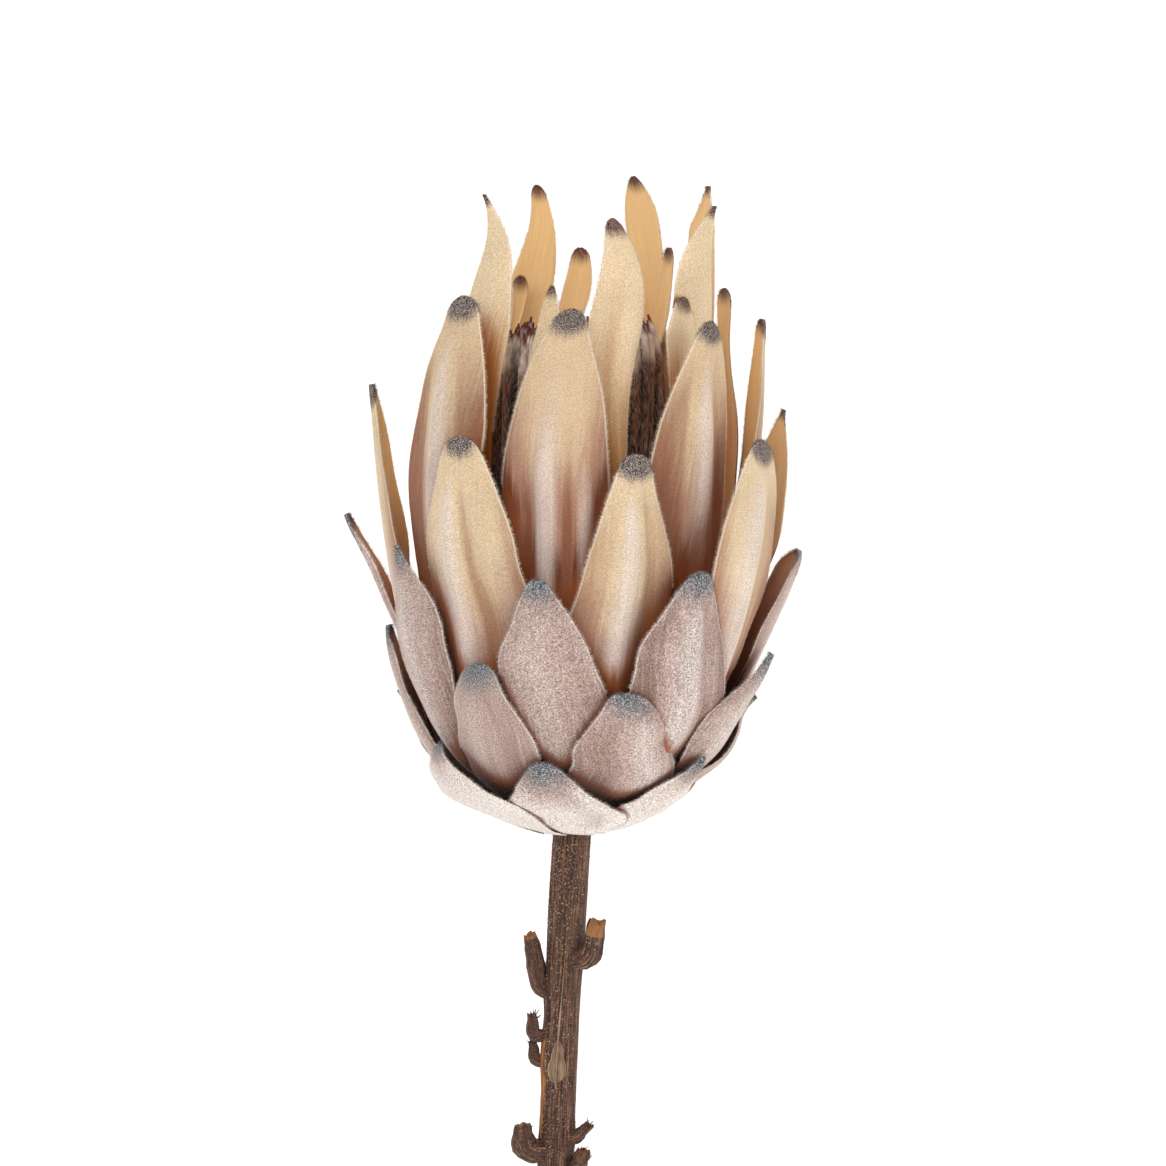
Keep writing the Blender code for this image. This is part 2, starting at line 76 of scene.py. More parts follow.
# ---------------------------------------------------------------- frame, meshes and nodes
@dataclass(frozen=True)
class Lay:
    """How the upright flower lies in the row's frame."""

    angle: float = math.radians(12.4745)
    shift: tuple[float, float, float] = (0.295, -11.934, 32.906)

    def turned(self, vectors: np.ndarray) -> np.ndarray:
        """Turn upright vectors into the row's directions.

        Args:
            vectors: upright vectors, the last axis holding x, y and z.

        Returns:
            The same vectors in the row's frame.
        """
        x, y, z = vectors[..., 0], vectors[..., 1], vectors[..., 2]
        rise, run = math.sin(self.angle), math.cos(self.angle)
        return np.stack([x, y * rise + z * run, z * rise - y * run], axis=-1)

    def place(self, points: np.ndarray) -> np.ndarray:
        """Lay upright points down, none of them under the floor.

        Args:
            points: upright coordinates in millimetres, the last axis holding x, y and z.

        Returns:
            The same points in the row's metres.
        """
        laid = self.turned(points) + np.array(self.shift)
        laid[..., 2] = np.maximum(laid[..., 2], FLOOR_CLEARANCE)
        return laid * MILLIMETRE


LAY = Lay()


def srgb(code: str) -> tuple[float, float, float, float]:
    """Turn an sRGB hex code into a linear colour.

    Args:
        code: six hex digits after a #.

    Returns:
        Linear red, green and blue, then an alpha of 1.
    """
    channels = [int(code[i:i + 2], 16) / 255 for i in (1, 3, 5)]
    linear = [c / 12.92 if c <= 0.04045 else ((c + 0.055) / 1.055) ** 2.4 for c in channels]
    return (*linear, 1.0)


def add_node(tree: bpy.types.NodeTree, kind: str, links: dict | None = None,
             **settings: object) -> bpy.types.Node:
    """Add a node with its settings, values and links.

    Args:
        tree: the node tree.
        kind: the node's type name.
        links: input name or index, to the socket that feeds it or to its fixed value.
        settings: the node's own properties.

    Returns:
        The new node.
    """
    node = tree.nodes.new(kind)
    for key, value in settings.items():
        setattr(node, key, value)
    for socket, value in (links or {}).items():
        if isinstance(value, bpy.types.NodeSocket):
            tree.links.new(value, node.inputs[socket])
        else:
            node.inputs[socket].default_value = value
    return node


Socket = bpy.types.NodeSocket
Number = Socket | float         # what a plain input takes
Colour = Socket | str           # what a colour input takes; the text is an sRGB hex code


@dataclass(frozen=True)
class Surface:
    """A material in the making, around one Principled shader."""

    material: bpy.types.Material

    @classmethod
    def start(cls, name: str, roughness: float, **sockets: object) -> "Surface":
        """Start a material.

        Args:
            name: the material's name.
            roughness: the shader's roughness.
            sockets: other fixed shader values, with underscores for the spaces in a socket's name.

        Returns:
            The material, ready for its colour.
        """
        material = bpy.data.materials.new(name)
        material.use_nodes = True
        made = cls(material)
        for key, value in {"Roughness": roughness, **sockets}.items():
            made.shader.inputs[key.replace("_", " ")].default_value = value
        return made

    @property
    def tree(self) -> bpy.types.NodeTree:
        """The material's nodes."""
        return self.material.node_tree

    @property
    def shader(self) -> bpy.types.Node:
        """The Principled shader."""
        return self.tree.nodes["Principled BSDF"]

    def attribute(self, name: str, output: str = "Vector") -> Socket:
        """Read a mesh attribute."""
        return add_node(self.tree, "ShaderNodeAttribute", attribute_name=name).outputs[output]

    def split(self, vector: Socket) -> tuple[Socket, Socket, Socket]:
        """Take a vector apart."""
        return tuple(add_node(self.tree, "ShaderNodeSeparateXYZ", {0: vector}).outputs)

    def stretch(self, vector: Socket, *spans: float) -> Socket:
        """Divide a vector's x, y and z by three spans."""
        links = {0: vector, 1: tuple(1 / span for span in spans)}
        return add_node(self.tree, "ShaderNodeVectorMath", links, operation="MULTIPLY").outputs[0]

    def noise(self, vector: Socket, scale: float, detail: float = 2.0, roughness: float = 0.5) -> Socket:
        """Make cloudy noise, most of it between 0.3 and 0.7."""
        links = {"Vector": vector, "Scale": scale, "Detail": detail, "Roughness": roughness}
        return add_node(self.tree, "ShaderNodeTexNoise", links).outputs[0]

    def times(self, value: Number, factor: Number, extra: Number = 0.0) -> Socket:
        """Multiply a value and add something to it."""
        links = {0: value, 1: factor, 2: extra}
        return add_node(self.tree, "ShaderNodeMath", links, operation="MULTIPLY_ADD").outputs[0]

    def ramp(self, value: Socket, low: float, high: float, start: float = 0.0, end: float = 1.0,
             smooth: bool = False) -> Socket:
        """Lead a value's change from low to high over to one from start to end.

        Args:
            value: the value.
            low: where the change begins.
            high: where it ends; it may be under low.
            start: what comes out before it.
            end: what comes out after it.
            smooth: whether it sets in and dies out softly.

        Returns:
            The new value.
        """
        links = {"Value": value, "From Min": low, "From Max": high, "To Min": start, "To Max": end}
        kind = "SMOOTHSTEP" if smooth else "LINEAR"
        return add_node(self.tree, "ShaderNodeMapRange", links, interpolation_type=kind).outputs[0]

    def mix(self, under: Colour, over: Colour, share: Socket) -> Socket:
        """Lay one colour over another.

        Args:
            under: the lower colour.
            over: the upper colour.
            share: the upper colour's share, from 0 to 1.

        Returns:
            The mixed colour.
        """
        links = {0: share, 6: under, 7: over}
        links = {key: srgb(value) if isinstance(value, str) else value for key, value in links.items()}
        return add_node(self.tree, "ShaderNodeMix", links, data_type="RGBA").outputs[2]

    def layer(self, under: Colour, over: Colour, value: Socket, low: float, high: float, most: float = 1.0,
              smooth: bool = False) -> Socket:
        """Lay one colour over another where a value changes from low to high.

        Args:
            under: the colour at low.
            over: the colour at high.
            value: the value.
            low: where the change begins.
            high: where it ends; it may be under low.
            most: the largest share of the upper colour.
            smooth: whether the change sets in and dies out softly.

        Returns:
            The mixed colour.
        """
        return self.mix(under, over, self.ramp(value, low, high, 0.0, most, smooth))

    def shade(self, colour: Colour, value: Socket) -> Socket:
        """Make a colour lighter or darker."""
        links = {"Value": value, "Color": srgb(colour) if isinstance(colour, str) else colour}
        return add_node(self.tree, "ShaderNodeHueSaturation", links).outputs[0]

    def close(self, colour: Socket, height: Socket | None = None, strength: float = 0.0,
              depth: float = 0.0) -> bpy.types.Material:
        """Give the shader its colour and fine relief.

        Args:
            colour: the colour.
            height: the relief, from 0 to 1.
            strength: how strongly it shows.
            depth: how deep it is, in millimetres.

        Returns:
            The finished material.
        """
        self.tree.links.new(colour, self.shader.inputs["Base Color"])
        if height is not None:
            links = {"Height": height, "Strength": strength, "Distance": depth * MILLIMETRE}
            bump = add_node(self.tree, "ShaderNodeBump", links)
            self.tree.links.new(bump.outputs[0], self.shader.inputs["Normal"])
        return self.material


def make_mesh(name: str, points: np.ndarray, *face_sets: np.ndarray) -> bpy.types.Mesh:
    """Make a smooth mesh from upright points, laid down.

    Args:
        name: the mesh's name.
        points: (n, 3) upright millimetres.
        face_sets: one or more (faces, corners) index arrays.

    Returns:
        The mesh, in the row's metres.
    """
    mesh = bpy.data.meshes.new(name)
    placed = LAY.place(points)
    mesh.vertices.add(len(placed))
    mesh.vertices.foreach_set("co", placed.astype(np.float32).ravel())
    corners = np.concatenate([faces.ravel() for faces in face_sets]).astype(np.int32)
    sizes = np.concatenate([np.full(len(faces), faces.shape[1]) for faces in face_sets])
    mesh.loops.add(len(corners))
    mesh.loops.foreach_set("vertex_index", corners)
    mesh.polygons.add(len(sizes))
    mesh.polygons.foreach_set("loop_start", (np.cumsum(sizes) - sizes).astype(np.int32))
    mesh.update(calc_edges=True)
    mesh.shade_smooth()
    return mesh


def cell_corners(grid: np.ndarray) -> np.ndarray:
    """Gather the corners of each cell of a grid, whose last axis holds the values of one point."""
    corners = [grid[..., :-1, :-1, :], grid[..., :-1, 1:, :], grid[..., 1:, 1:, :], grid[..., 1:, :-1, :]]
    return np.stack(corners, axis=-2)


def sheet_faces(index: np.ndarray) -> np.ndarray:
    """List the four-cornered faces between the rows and columns of an open grid of points."""
    return cell_corners(index[..., None])[..., 0].reshape(-1, 4)


def wall_faces(index: np.ndarray) -> np.ndarray:
    """List the faces of a grid of points whose rows each close into a ring."""
    return sheet_faces(np.concatenate([index, index[..., :1]], axis=-1))


def set_attribute(mesh: bpy.types.Mesh, name: str, values: np.ndarray) -> None:
    """Store a value or vector on each vertex.

    Args:
        mesh: the mesh.
        name: the attribute's name.
        values: (n,) numbers, or vectors along the last of two or more axes.
    """
    kind, key = ("FLOAT", "value") if values.ndim == 1 else ("FLOAT_VECTOR", "vector")
    layer = mesh.attributes.new(name, kind, "POINT")
    layer.data.foreach_set(key, np.ascontiguousarray(values, dtype=np.float32).ravel())


def set_uv(mesh: bpy.types.Mesh, corner_places: np.ndarray) -> None:
    """Store a flat layout of the faces, one place for each face corner."""
    layer = mesh.uv_layers.new(name="OFBake")
    layer.data.foreach_set("uv", np.ascontiguousarray(corner_places, dtype=np.float32).ravel())


def dress_faces(mesh: bpy.types.Mesh, faces: np.ndarray | list[int]) -> None:
    """Give some faces the second of a mesh's two materials.

    Args:
        mesh: the mesh.
        faces: the faces' numbers; -1 is the last one.
    """
    worn = np.zeros(len(mesh.polygons), dtype=np.int32)
    worn[faces] = 1
    mesh.polygons.foreach_set("material_index", worn)


def add_object(name: str, data: bpy.types.ID) -> bpy.types.Object:
    """Put a mesh, light or camera in the scene.

    Args:
        name: the object's name.
        data: the mesh, light or camera.

    Returns:
        The new object.
    """
    thing = bpy.data.objects.new(name, data)
    bpy.context.scene.collection.objects.link(thing)
    return thing


def add_piece(name: str, mesh: bpy.types.Mesh, materials: list,
              replaced: tuple[str, ...] = ()) -> None:
    """Put a mesh in the scene as one piece of the flower.

    Args:
        name: the piece's name.
        mesh: its mesh.
        materials: its Blender materials, in the order of the mesh's material indices.
        replaced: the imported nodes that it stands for.
    """
    piece = add_object(name, mesh)
    for material in materials:
        mesh.materials.append(material)
    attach(piece, BODY)
    if replaced:
        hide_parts(*replaced)
    mesh.calc_loop_triangles()
    LOG.info("%s: %d triangles", name, len(mesh.loop_triangles))


def around(radius: np.ndarray, turn: np.ndarray, height: np.ndarray) -> np.ndarray:
    """Place points round the upright axis: radii, azimuths in radians and heights."""
    return np.stack(np.broadcast_arrays(radius * np.sin(turn), -radius * np.cos(turn), height), axis=-1)


def directions(turn: float) -> tuple[np.ndarray, np.ndarray]:
    """Find the ways out from the upright axis and sideways round it, at an azimuth in radians."""
    return np.array([math.sin(turn), -math.cos(turn), 0.0]), np.array([math.cos(turn), math.sin(turn), 0.0])


def smooth_curve(knots: tuple, shares: np.ndarray) -> tuple[np.ndarray, float]:
    """Find points on the natural cubic spline through some knots.

    Args:
        knots: the knots, in order.
        shares: where to evaluate, as shares of the curve's length.

    Returns:
        The points, and the curve's length.
    """
    points = np.array(knots, dtype=float)
    steps = np.sqrt(np.linalg.norm(np.diff(points, axis=0), axis=1))
    marks = np.concatenate([[0.0], np.cumsum(steps)])
    count = len(points)
    system = np.eye(count)
    target = np.zeros_like(points)
    for i in range(1, count - 1):
        before, after = steps[i - 1], steps[i]
        system[i, i - 1:i + 2] = before, 2 * (before + after), after
        target[i] = 6 * ((points[i + 1] - points[i]) / after - (points[i] - points[i - 1]) / before)
    bend = np.linalg.solve(system, target)

    def evaluate(mark: np.ndarray) -> np.ndarray:
        """Evaluate the spline.

        Args:
            mark: (n,) marks along it.

        Returns:
            (n, axes) points.
        """
        i = np.clip(np.searchsorted(marks, mark, side="right") - 1, 0, count - 2)
        span = steps[i][:, None]
        a = (marks[i + 1] - mark)[:, None] / span
        b = 1.0 - a
        curved = ((a ** 3 - a) * bend[i] + (b ** 3 - b) * bend[i + 1]) * span ** 2 / 6
        return a * points[i] + b * points[i + 1] + curved

    fine = np.linspace(0.0, marks[-1], 240)
    travel = path_lengths(evaluate(fine))
    return evaluate(np.interp(np.asarray(shares) * travel[-1], travel, fine)), travel[-1]


def path_lengths(points: np.ndarray) -> np.ndarray:
    """Measure how far along a path each of its points lies."""
    return np.concatenate([[0.0], np.cumsum(np.linalg.norm(np.diff(points, axis=0), axis=1))])


def unit(vectors: np.ndarray) -> np.ndarray:
    """Scale vectors to length one."""
    return vectors / np.maximum(np.linalg.norm(vectors, axis=-1, keepdims=True), 1e-9)


def step_between(value: np.ndarray, low: float, high: float) -> np.ndarray:
    """Rise smoothly from 0 at low to 1 at high."""
    share = np.clip((value - low) / (high - low), 0.0, 1.0)
    return share * share * (3.0 - 2.0 * share)


# ---------------------------------------------------------------- finishes
@dataclass(frozen=True)
class VelvetNap:
    """Outer face of a dried protea bract: a leathery blade under a dense nap of short hairs.

    The nap gives the eye a matt, powdery surface with a pale bloom at grazing angles, a salt-and-pepper
    grain and faint lengthwise streaks where the fibres under it show through.
    """

    name: str
    nap: str                        # where the nap is thick
    low: str                        # further down the blade
    foot: str                       # near the foot: dark on most rings, partly the bract's own colour and partly painted shade deep among the other bracts
    pale_streak_and_crest_highlight: str                      # pale streaks, and painted highlight on the crest of a fold
    dark_streak_and_fold_shade: str                     # dark streaks, and painted shade in a fold
    rim: str                        # the bare margin
    cap: str                        # dark hairs at the tip
    cap_bloom: str                  # pale hairs among them
    pepper: str                     # dark hairs among the pale ones everywhere
    rust_and_shade: str                       # where neighbours close the blade in: partly the bract's own rust, partly painted shade
    painted_gap_shade: str                        # painted shade, deep between two blades
    low_from: float = 30.0          # distances from the tip, in millimetres
    low_to: float = 62.0
    foot_to: float = 84.0
    border_stray: float = 22.0      # how far these borders stray along the fibres
    cap_reach: float = 5.5
    cap_fade: float = 0.8
    cap_ragged: float = 3.0
    cap_spread: float = 1.6         # how much the caps of different bracts differ
    grain: float = 0.42             # size of a tuft; real ones are 0.1 mm, drawn coarser so that they show
    grain_contrast: float = 0.12
    pepper_share: float = 0.25
    streak_width: float = 0.9       # fibre bundles under the nap
    streak_length: float = 16.0
    streak_strength: float = 0.25
    sheen: float = 0.30
    rim_width: float = 0.4
    flank_width: float = 7.0        # how far in from the margin the blade's side reaches
    flank_stretch: float = 1.7          # the blade's sides take the colours of spots this many times further from the tip
    rust_shade_from: float = 0.26         # shares of shelter
    rust_shade_to: float = 0.55
    shut_from: float = 0.92
    rust_shade_stray: float = 0.22        # how far these borders stray along the fibres
    shelter_shade_reach: float = 40.0       # painted shade: a closed-in spot takes the colours of a spot this many millimetres further down

    def build(self) -> bpy.types.Material:
        """Build the velvet material."""
        made = Surface.start(self.name, 0.92, Specular_IOR_Level=0.25, Sheen_Weight=self.sheen,
                             Sheen_Roughness=0.45, Sheen_Tint=srgb("#F4ECE6"))
        place, shelter = made.attribute(PLACE), made.attribute(SHELTER, "Fac")
        tip, margin, lift = made.split(made.attribute(EDGE))
        own = add_node(made.tree, "ShaderNodeTexWhiteNoise", {"W": made.split(place)[2]},
                       noise_dimensions="1D").outputs["Value"]
        fibre = made.stretch(place, self.streak_width, self.streak_length, 1)
        streak = made.noise(fibre, 1.0, 3.0, 0.6)
        tuft = made.noise(place, 1 / self.grain, 1.5, 0.7)

        # Colours change from the nap's to the foot's along the fibres, so their border is drawn out into
        # streaks;
        # where other bracts close a spot in, the shift towards the darker foot colours is painted shade.
        tip_distance_and_shade = made.times(tip, made.ramp(margin, 0.0, self.flank_width, self.flank_stretch, 1.0, smooth=True))
        tip_distance_and_shade = made.times(shelter, self.shelter_shade_reach, tip_distance_and_shade)
        wander = made.times(streak, self.border_stray, tip_distance_and_shade)
        low_from, low_to, foot_to = (
            border + self.border_stray / 2 for border in (self.low_from, self.low_to, self.foot_to))
        colour = made.layer(self.nap, self.low, wander, low_from, low_to, smooth=True)
        colour = made.layer(colour, self.foot, wander, low_to, foot_to, smooth=True)

        # Painted highlight on the crests of folds and painted shade in their hollows, the shade stronger
        # towards the foot.
        colour = made.layer(colour, self.pale_streak_and_crest_highlight, lift, 0.15, 1.0, 0.55)
        painted_fold_shade = made.times(made.ramp(lift, -0.08, -0.75), made.ramp(wander, 18.0, 62.0, 0.3, 0.9))
        colour = made.mix(colour, self.dark_streak_and_fold_shade, painted_fold_shade)
        colour = made.layer(colour, self.dark_streak_and_fold_shade, streak, 0.5, 0.72, self.streak_strength)
        colour = made.layer(colour, self.pale_streak_and_crest_highlight, streak, 0.48, 0.28, self.streak_strength)
        colour = made.layer(colour, self.rim, margin, self.rim_width, 0.1, 0.6)

        # The dark cap of the tip ends in ragged hairs.
        border = made.times(made.noise(fibre, 1.6), self.cap_ragged, tip)
        border = made.times(own, -self.cap_spread, border)
        centre = self.cap_reach + self.cap_ragged / 2 - self.cap_spread / 2
        tipped = made.layer(self.cap, self.cap_bloom, tuft, 0.42, 0.74)
        colour = made.layer(colour, tipped, border, centre + self.cap_fade, centre - self.cap_fade, smooth=True)

        grain = made.ramp(tuft, 0.3, 0.7, 1 - self.grain_contrast, 1 + self.grain_contrast)
        cloud = made.ramp(made.noise(place, 1 / 9.0), 0.3, 0.7, 0.95, 1.05)
        colour = made.shade(colour, made.times(grain, cloud))
        speck = made.noise(place, 1 / (0.85 * self.grain), 1.0)
        colour = made.layer(colour, self.pepper, speck, 0.52, 0.70, self.pepper_share)

        # Where other bracts close a spot in, it turns rust, partly its own colour and partly painted shade,
        # then near black deep between blades, which is painted shade alone; the border follows the fibres.
        sheltered_rust_and_shade = made.times(streak, self.rust_shade_stray, shelter)
        rust_shade_from, rust_shade_to = self.rust_shade_from + self.rust_shade_stray / 2, self.rust_shade_to + self.rust_shade_stray / 2
        colour = made.layer(colour, self.rust_and_shade, sheltered_rust_and_shade, rust_shade_from, rust_shade_to, smooth=True)
        colour = made.layer(colour, self.painted_gap_shade, sheltered_rust_and_shade, rust_shade_to, self.shut_from, smooth=True)
        return made.close(colour, made.times(streak, 0.6, tuft), 0.45, 0.25)


@dataclass(frozen=True)
class LeatheryFace:
    """Inner face of a dried protea bract: bare, leathery and ribbed, warm ochre darkening to rust.

    It has no nap, so it gives the eye a saturated colour with a faint waxy gloss and fine long veins.
    """

    name: str
    upper: str
    middle: str
    deep: str
    cap: str
    cap_bloom: str                  # paler hairs among the dark ones of the tip
    painted_gap_shade: str                        # painted shade, where it is shut away between two blades
    cap_reach: float = 3.0
    middle_from: float = 22.0       # distances from the tip, in millimetres
    middle_to: float = 45.0
    deep_to: float = 75.0
    border_stray: float = 16.0      # how far these borders stray
    vein: float = 0.55              # vein spacing
    vein_length: float = 14.0

    def build(self) -> bpy.types.Material:
        """Build the leathery material."""
        made = Surface.start(self.name, 0.62, Specular_IOR_Level=0.4, Sheen_Weight=0.08, Sheen_Roughness=0.5)
        place = made.attribute(PLACE)
        tip = made.split(made.attribute(EDGE))[0]
        vein = made.noise(made.stretch(place, self.vein, self.vein_length, 1), 1.0, 3.0, 0.6)
        wander = made.times(made.noise(place, 1 / 4.0, 3.0), self.border_stray, tip)
        middle_from, middle_to, deep_to = (
            border + self.border_stray / 2 for border in (self.middle_from, self.middle_to, self.deep_to))
        colour = made.layer(self.upper, self.middle, wander, middle_from, middle_to, smooth=True)
        colour = made.layer(colour, self.deep, wander, middle_to, deep_to, smooth=True)
        tipped = made.layer(self.cap, self.cap_bloom, made.noise(place, 1 / 0.4, 1.5, 0.7), 0.38, 0.66)
        border = made.times(vein, 2.5, tip)
        colour = made.layer(colour, tipped, border, self.cap_reach + 3.2, self.cap_reach - 0.8, smooth=True)
        colour = made.shade(colour, made.ramp(vein, 0.3, 0.7, 1.05, 0.94))
        # Painted shade where other bracts shut the face away.
        colour = made.layer(colour, self.painted_gap_shade, made.attribute(SHELTER, "Fac"), 0.5, 1.1, smooth=True)
        return made.close(colour, vein, 0.5, 0.3)


@dataclass(frozen=True)
class PlantHair:
    """Single plant hairs: dull, each in its own tone between a dark and a light one."""

    name: str
    dark: str
    light: str

    def build(self) -> bpy.types.Material:
        """Build the hair material."""
        made = Surface.start(self.name, 0.85, Specular_IOR_Level=0.2)
        return made.close(made.mix(self.dark, self.light, made.attribute(STRAND, "Fac")))


@dataclass(frozen=True)
class FloretWool:
    """Dried florets: slender tubes felted over with wool, dark brown below and grey near their tops."""

    name: str
    dark: str
    light: str
    band: str                       # the grey wool near the top
    tuft: str                       # the bare reddish top
    tuft_reach: float = 2.2
    band_reach: float = 9.0
    fibre: float = 0.35             # wool fibres lie along the tube; real ones are 0.03 mm, drawn coarser
    fibre_length: float = 2.2

    def build(self) -> bpy.types.Material:
        """Build the wool material."""
        made = Surface.start(self.name, 0.95, Specular_IOR_Level=0.2, Sheen_Weight=0.15, Sheen_Roughness=0.5)
        felt = made.noise(made.stretch(made.attribute(PLACE), self.fibre, self.fibre_length, 1), 1.0, 3.0, 0.65)
        border = made.times(felt, 4.0, made.split(made.attribute(EDGE))[0])
        colour = made.layer(self.dark, self.light, felt, 0.36, 0.70)
        banded = made.layer(self.light, self.band, felt, 0.22, 0.55)
        colour = made.layer(colour, banded, border, self.band_reach + 3.5, self.band_reach, smooth=True)
        colour = made.layer(colour, self.tuft, border, self.tuft_reach + 2.8, self.tuft_reach + 1.2)
        return made.close(colour, felt, 0.7, 0.4)


@dataclass(frozen=True)
class DryBark:
    """Thin dry bark: fibrous, with fine lengthwise cracks that show dark and worn ridges that show pale."""

    name: str
    crack: str
    bark: str
    worn: str
    bleached: str
    cork: str
    fibre: float = 0.5              # spacing of the fibres
    fibre_length: float = 12.0
    pimple: float = 0.75            # spacing of the fine pimples

    def build(self) -> bpy.types.Material:
        """Build the bark material."""
        made = Surface.start(self.name, 0.78, Specular_IOR_Level=0.35)
        place = made.attribute(BARK)
        fibre = made.noise(made.stretch(place, self.fibre, self.fibre_length, self.fibre), 1.0, 4.0, 0.65)
        relief = made.times(made.noise(place, 1 / 0.45, 2.0, 0.6), 0.45, fibre)
        colour = made.layer(self.crack, self.bark, relief, 0.58, 0.75)
        colour = made.layer(colour, self.worn, relief, 0.75, 0.93)
        colour = made.layer(colour, self.bleached, made.noise(place, 1 / 7.0, 3.0), 0.52, 0.75, 0.4)
        # The pimples gather in places; each is a pale dot of cork in a dark ring.
        cells = add_node(made.tree, "ShaderNodeTexVoronoi", {"Vector": place, "Scale": 1 / self.pimple})
        dense = made.ramp(made.noise(place, 1 / 2.6, 1.0), 0.46, 0.56)
        for width, tone, most in ((0.5, self.crack, 0.8), (0.24, self.cork, 0.75)):
            shown = made.times(made.ramp(cells.outputs["Distance"], width, width * 0.55, 0.0, most), dense)
            colour = made.mix(colour, tone, shown)
        return made.close(colour, made.times(shown, 0.25, relief), 0.8, 0.5)


@dataclass(frozen=True)
class BareWood:
    """Torn or sawn wood: pale orange-brown, with its fibres standing out along the grain."""

    name: str
    light: str
    dark: str
    fibre: float = 0.3
    fibre_length: float = 5.0

    def build(self) -> bpy.types.Material:
        """Build the wood material."""
        made = Surface.start(self.name, 0.7, Specular_IOR_Level=0.35)
        place = made.stretch(made.attribute(BARK), self.fibre, self.fibre_length, self.fibre)
        fibre = made.noise(place, 1.0, 3.0, 0.7)
        return made.close(made.layer(self.dark, self.light, fibre, 0.32, 0.68), fibre, 0.7, 0.3)


@dataclass(frozen=True)
class PaintedBoard:
    """Floor: a white painted board, matt, under diffused studio light that glows a little through it."""

    name: str = "white_painted_board"
    paint: str = "#F7F7F6"
    glow: float = 0.40

    def build(self) -> bpy.types.Material:
        """Build the board's material."""
        made = Surface.start(self.name, 0.9, Specular_IOR_Level=0.1, Emission_Color=srgb(self.paint),
                             Emission_Strength=self.glow)
        roller = made.noise(add_node(made.tree, "ShaderNodeTexCoord").outputs["Object"], 400.0)
        return made.close(made.shade(self.paint, made.ramp(roller, 0.0, 1.0, 0.985, 1.015)))


# ---------------------------------------------------------------- bracts
class FoldKind(Enum):
    """How a lengthwise fold is shaped across."""

    ROUND = "round"
    KEEL = "keel"


@dataclass(frozen=True)
class Fold:
    """A lengthwise fold, as bracts get when they dry."""

    foot: float                     # where it lies across the blade at the foot, from -1 to 1
    tip: float                      # and at the tip
    height: float                   # millimetres outwards
    width: float                    # in half-widths
    low: float = 0.15               # shares of the length where it rises and ends
    high: float = 0.92
    kind: FoldKind = FoldKind.ROUND

    def lift(self, shares: np.ndarray, across: np.ndarray) -> np.ndarray:
        """Find how far the fold lifts the blade.

        Args:
            shares: (rows, 1) shares of the length.
            across: (1, columns) places from -1 to 1.

        Returns:
            (rows, columns) millimetres, outwards.
        """
        away = (across - (self.foot + (self.tip - self.foot) * shares)) / self.width
        if self.kind is FoldKind.ROUND:
            form = np.exp(-away ** 2)
        else:
            form = np.clip(1.0 - np.sqrt(away ** 2 + 0.012), 0.0, 1.0) - 0.35
        return self.height * form * step_between(shares, self.low - 0.12, self.low + 0.12) * (
            1.0 - step_between(shares, self.high - 0.16, self.high + 0.06))


@dataclass(frozen=True)
class Ring:
    """One ring of bracts: what its blades share."""

    name: str
    knots: tuple
    foot_half_width: float
    widest_at: float
    taper: float
    rows: int
    columns: int
    slot: str
    curl: float = 0.3               # how far the margins roll inwards


@dataclass(frozen=True)
class Blade:
    """One bract: where it stands and how its own shape differs."""

    azimuth: float
    reach: float
    height: float
    half_width: float
    drift: float = 0.0
    blunt: float = 1.5
    hook: float = 0.0
    belly: float = 0.0
    folds: tuple = ()
    taper: float | None = None      # where it differs from the ring's
    widest_at: float | None = None
    sway: float = 0.0               # sideways bow of the upper part, in millimetres, to the right
    twist: float = 0.0              # degrees that the upper part turns its left margin outwards
    waist: float = 1.0              # above 1 keeps the lower part narrow for longer
    slant: float = 0.0              # sideways shift of the lower part, in millimetres, to the right
    lift: float = 0.0               # how far the free part stands further out, in millimetres


@dataclass
class BladeGrid:
    """A blade's worked-out surface."""

    middle: np.ndarray              # (rows, columns, 3) upright millimetres
    normals: np.ndarray             # outwards
    across: np.ndarray              # (columns,) from -1 to 1
    widths: np.ndarray              # (rows,) half-widths
    along: np.ndarray               # (rows,) from the foot
    length: float
    lift: np.ndarray                # (rows, columns) of the folds


def keel(foot: float, tip: float, height: float = 1.5, width: float = 0.9, low: float = 0.15,
         high: float = 0.92) -> Fold:
    """A sharp fold, like a keel."""
    return Fold(foot, tip, height, width, low, high, FoldKind.KEEL)


def waves(shares: np.ndarray, counts: tuple[float, ...], phases: np.ndarray) -> np.ndarray:
    """Add up sine waves of some counts over the length, for an uneven edge or line."""
    return sum(np.sin(math.tau * shares * count + phase) for count, phase in zip(counts, phases))


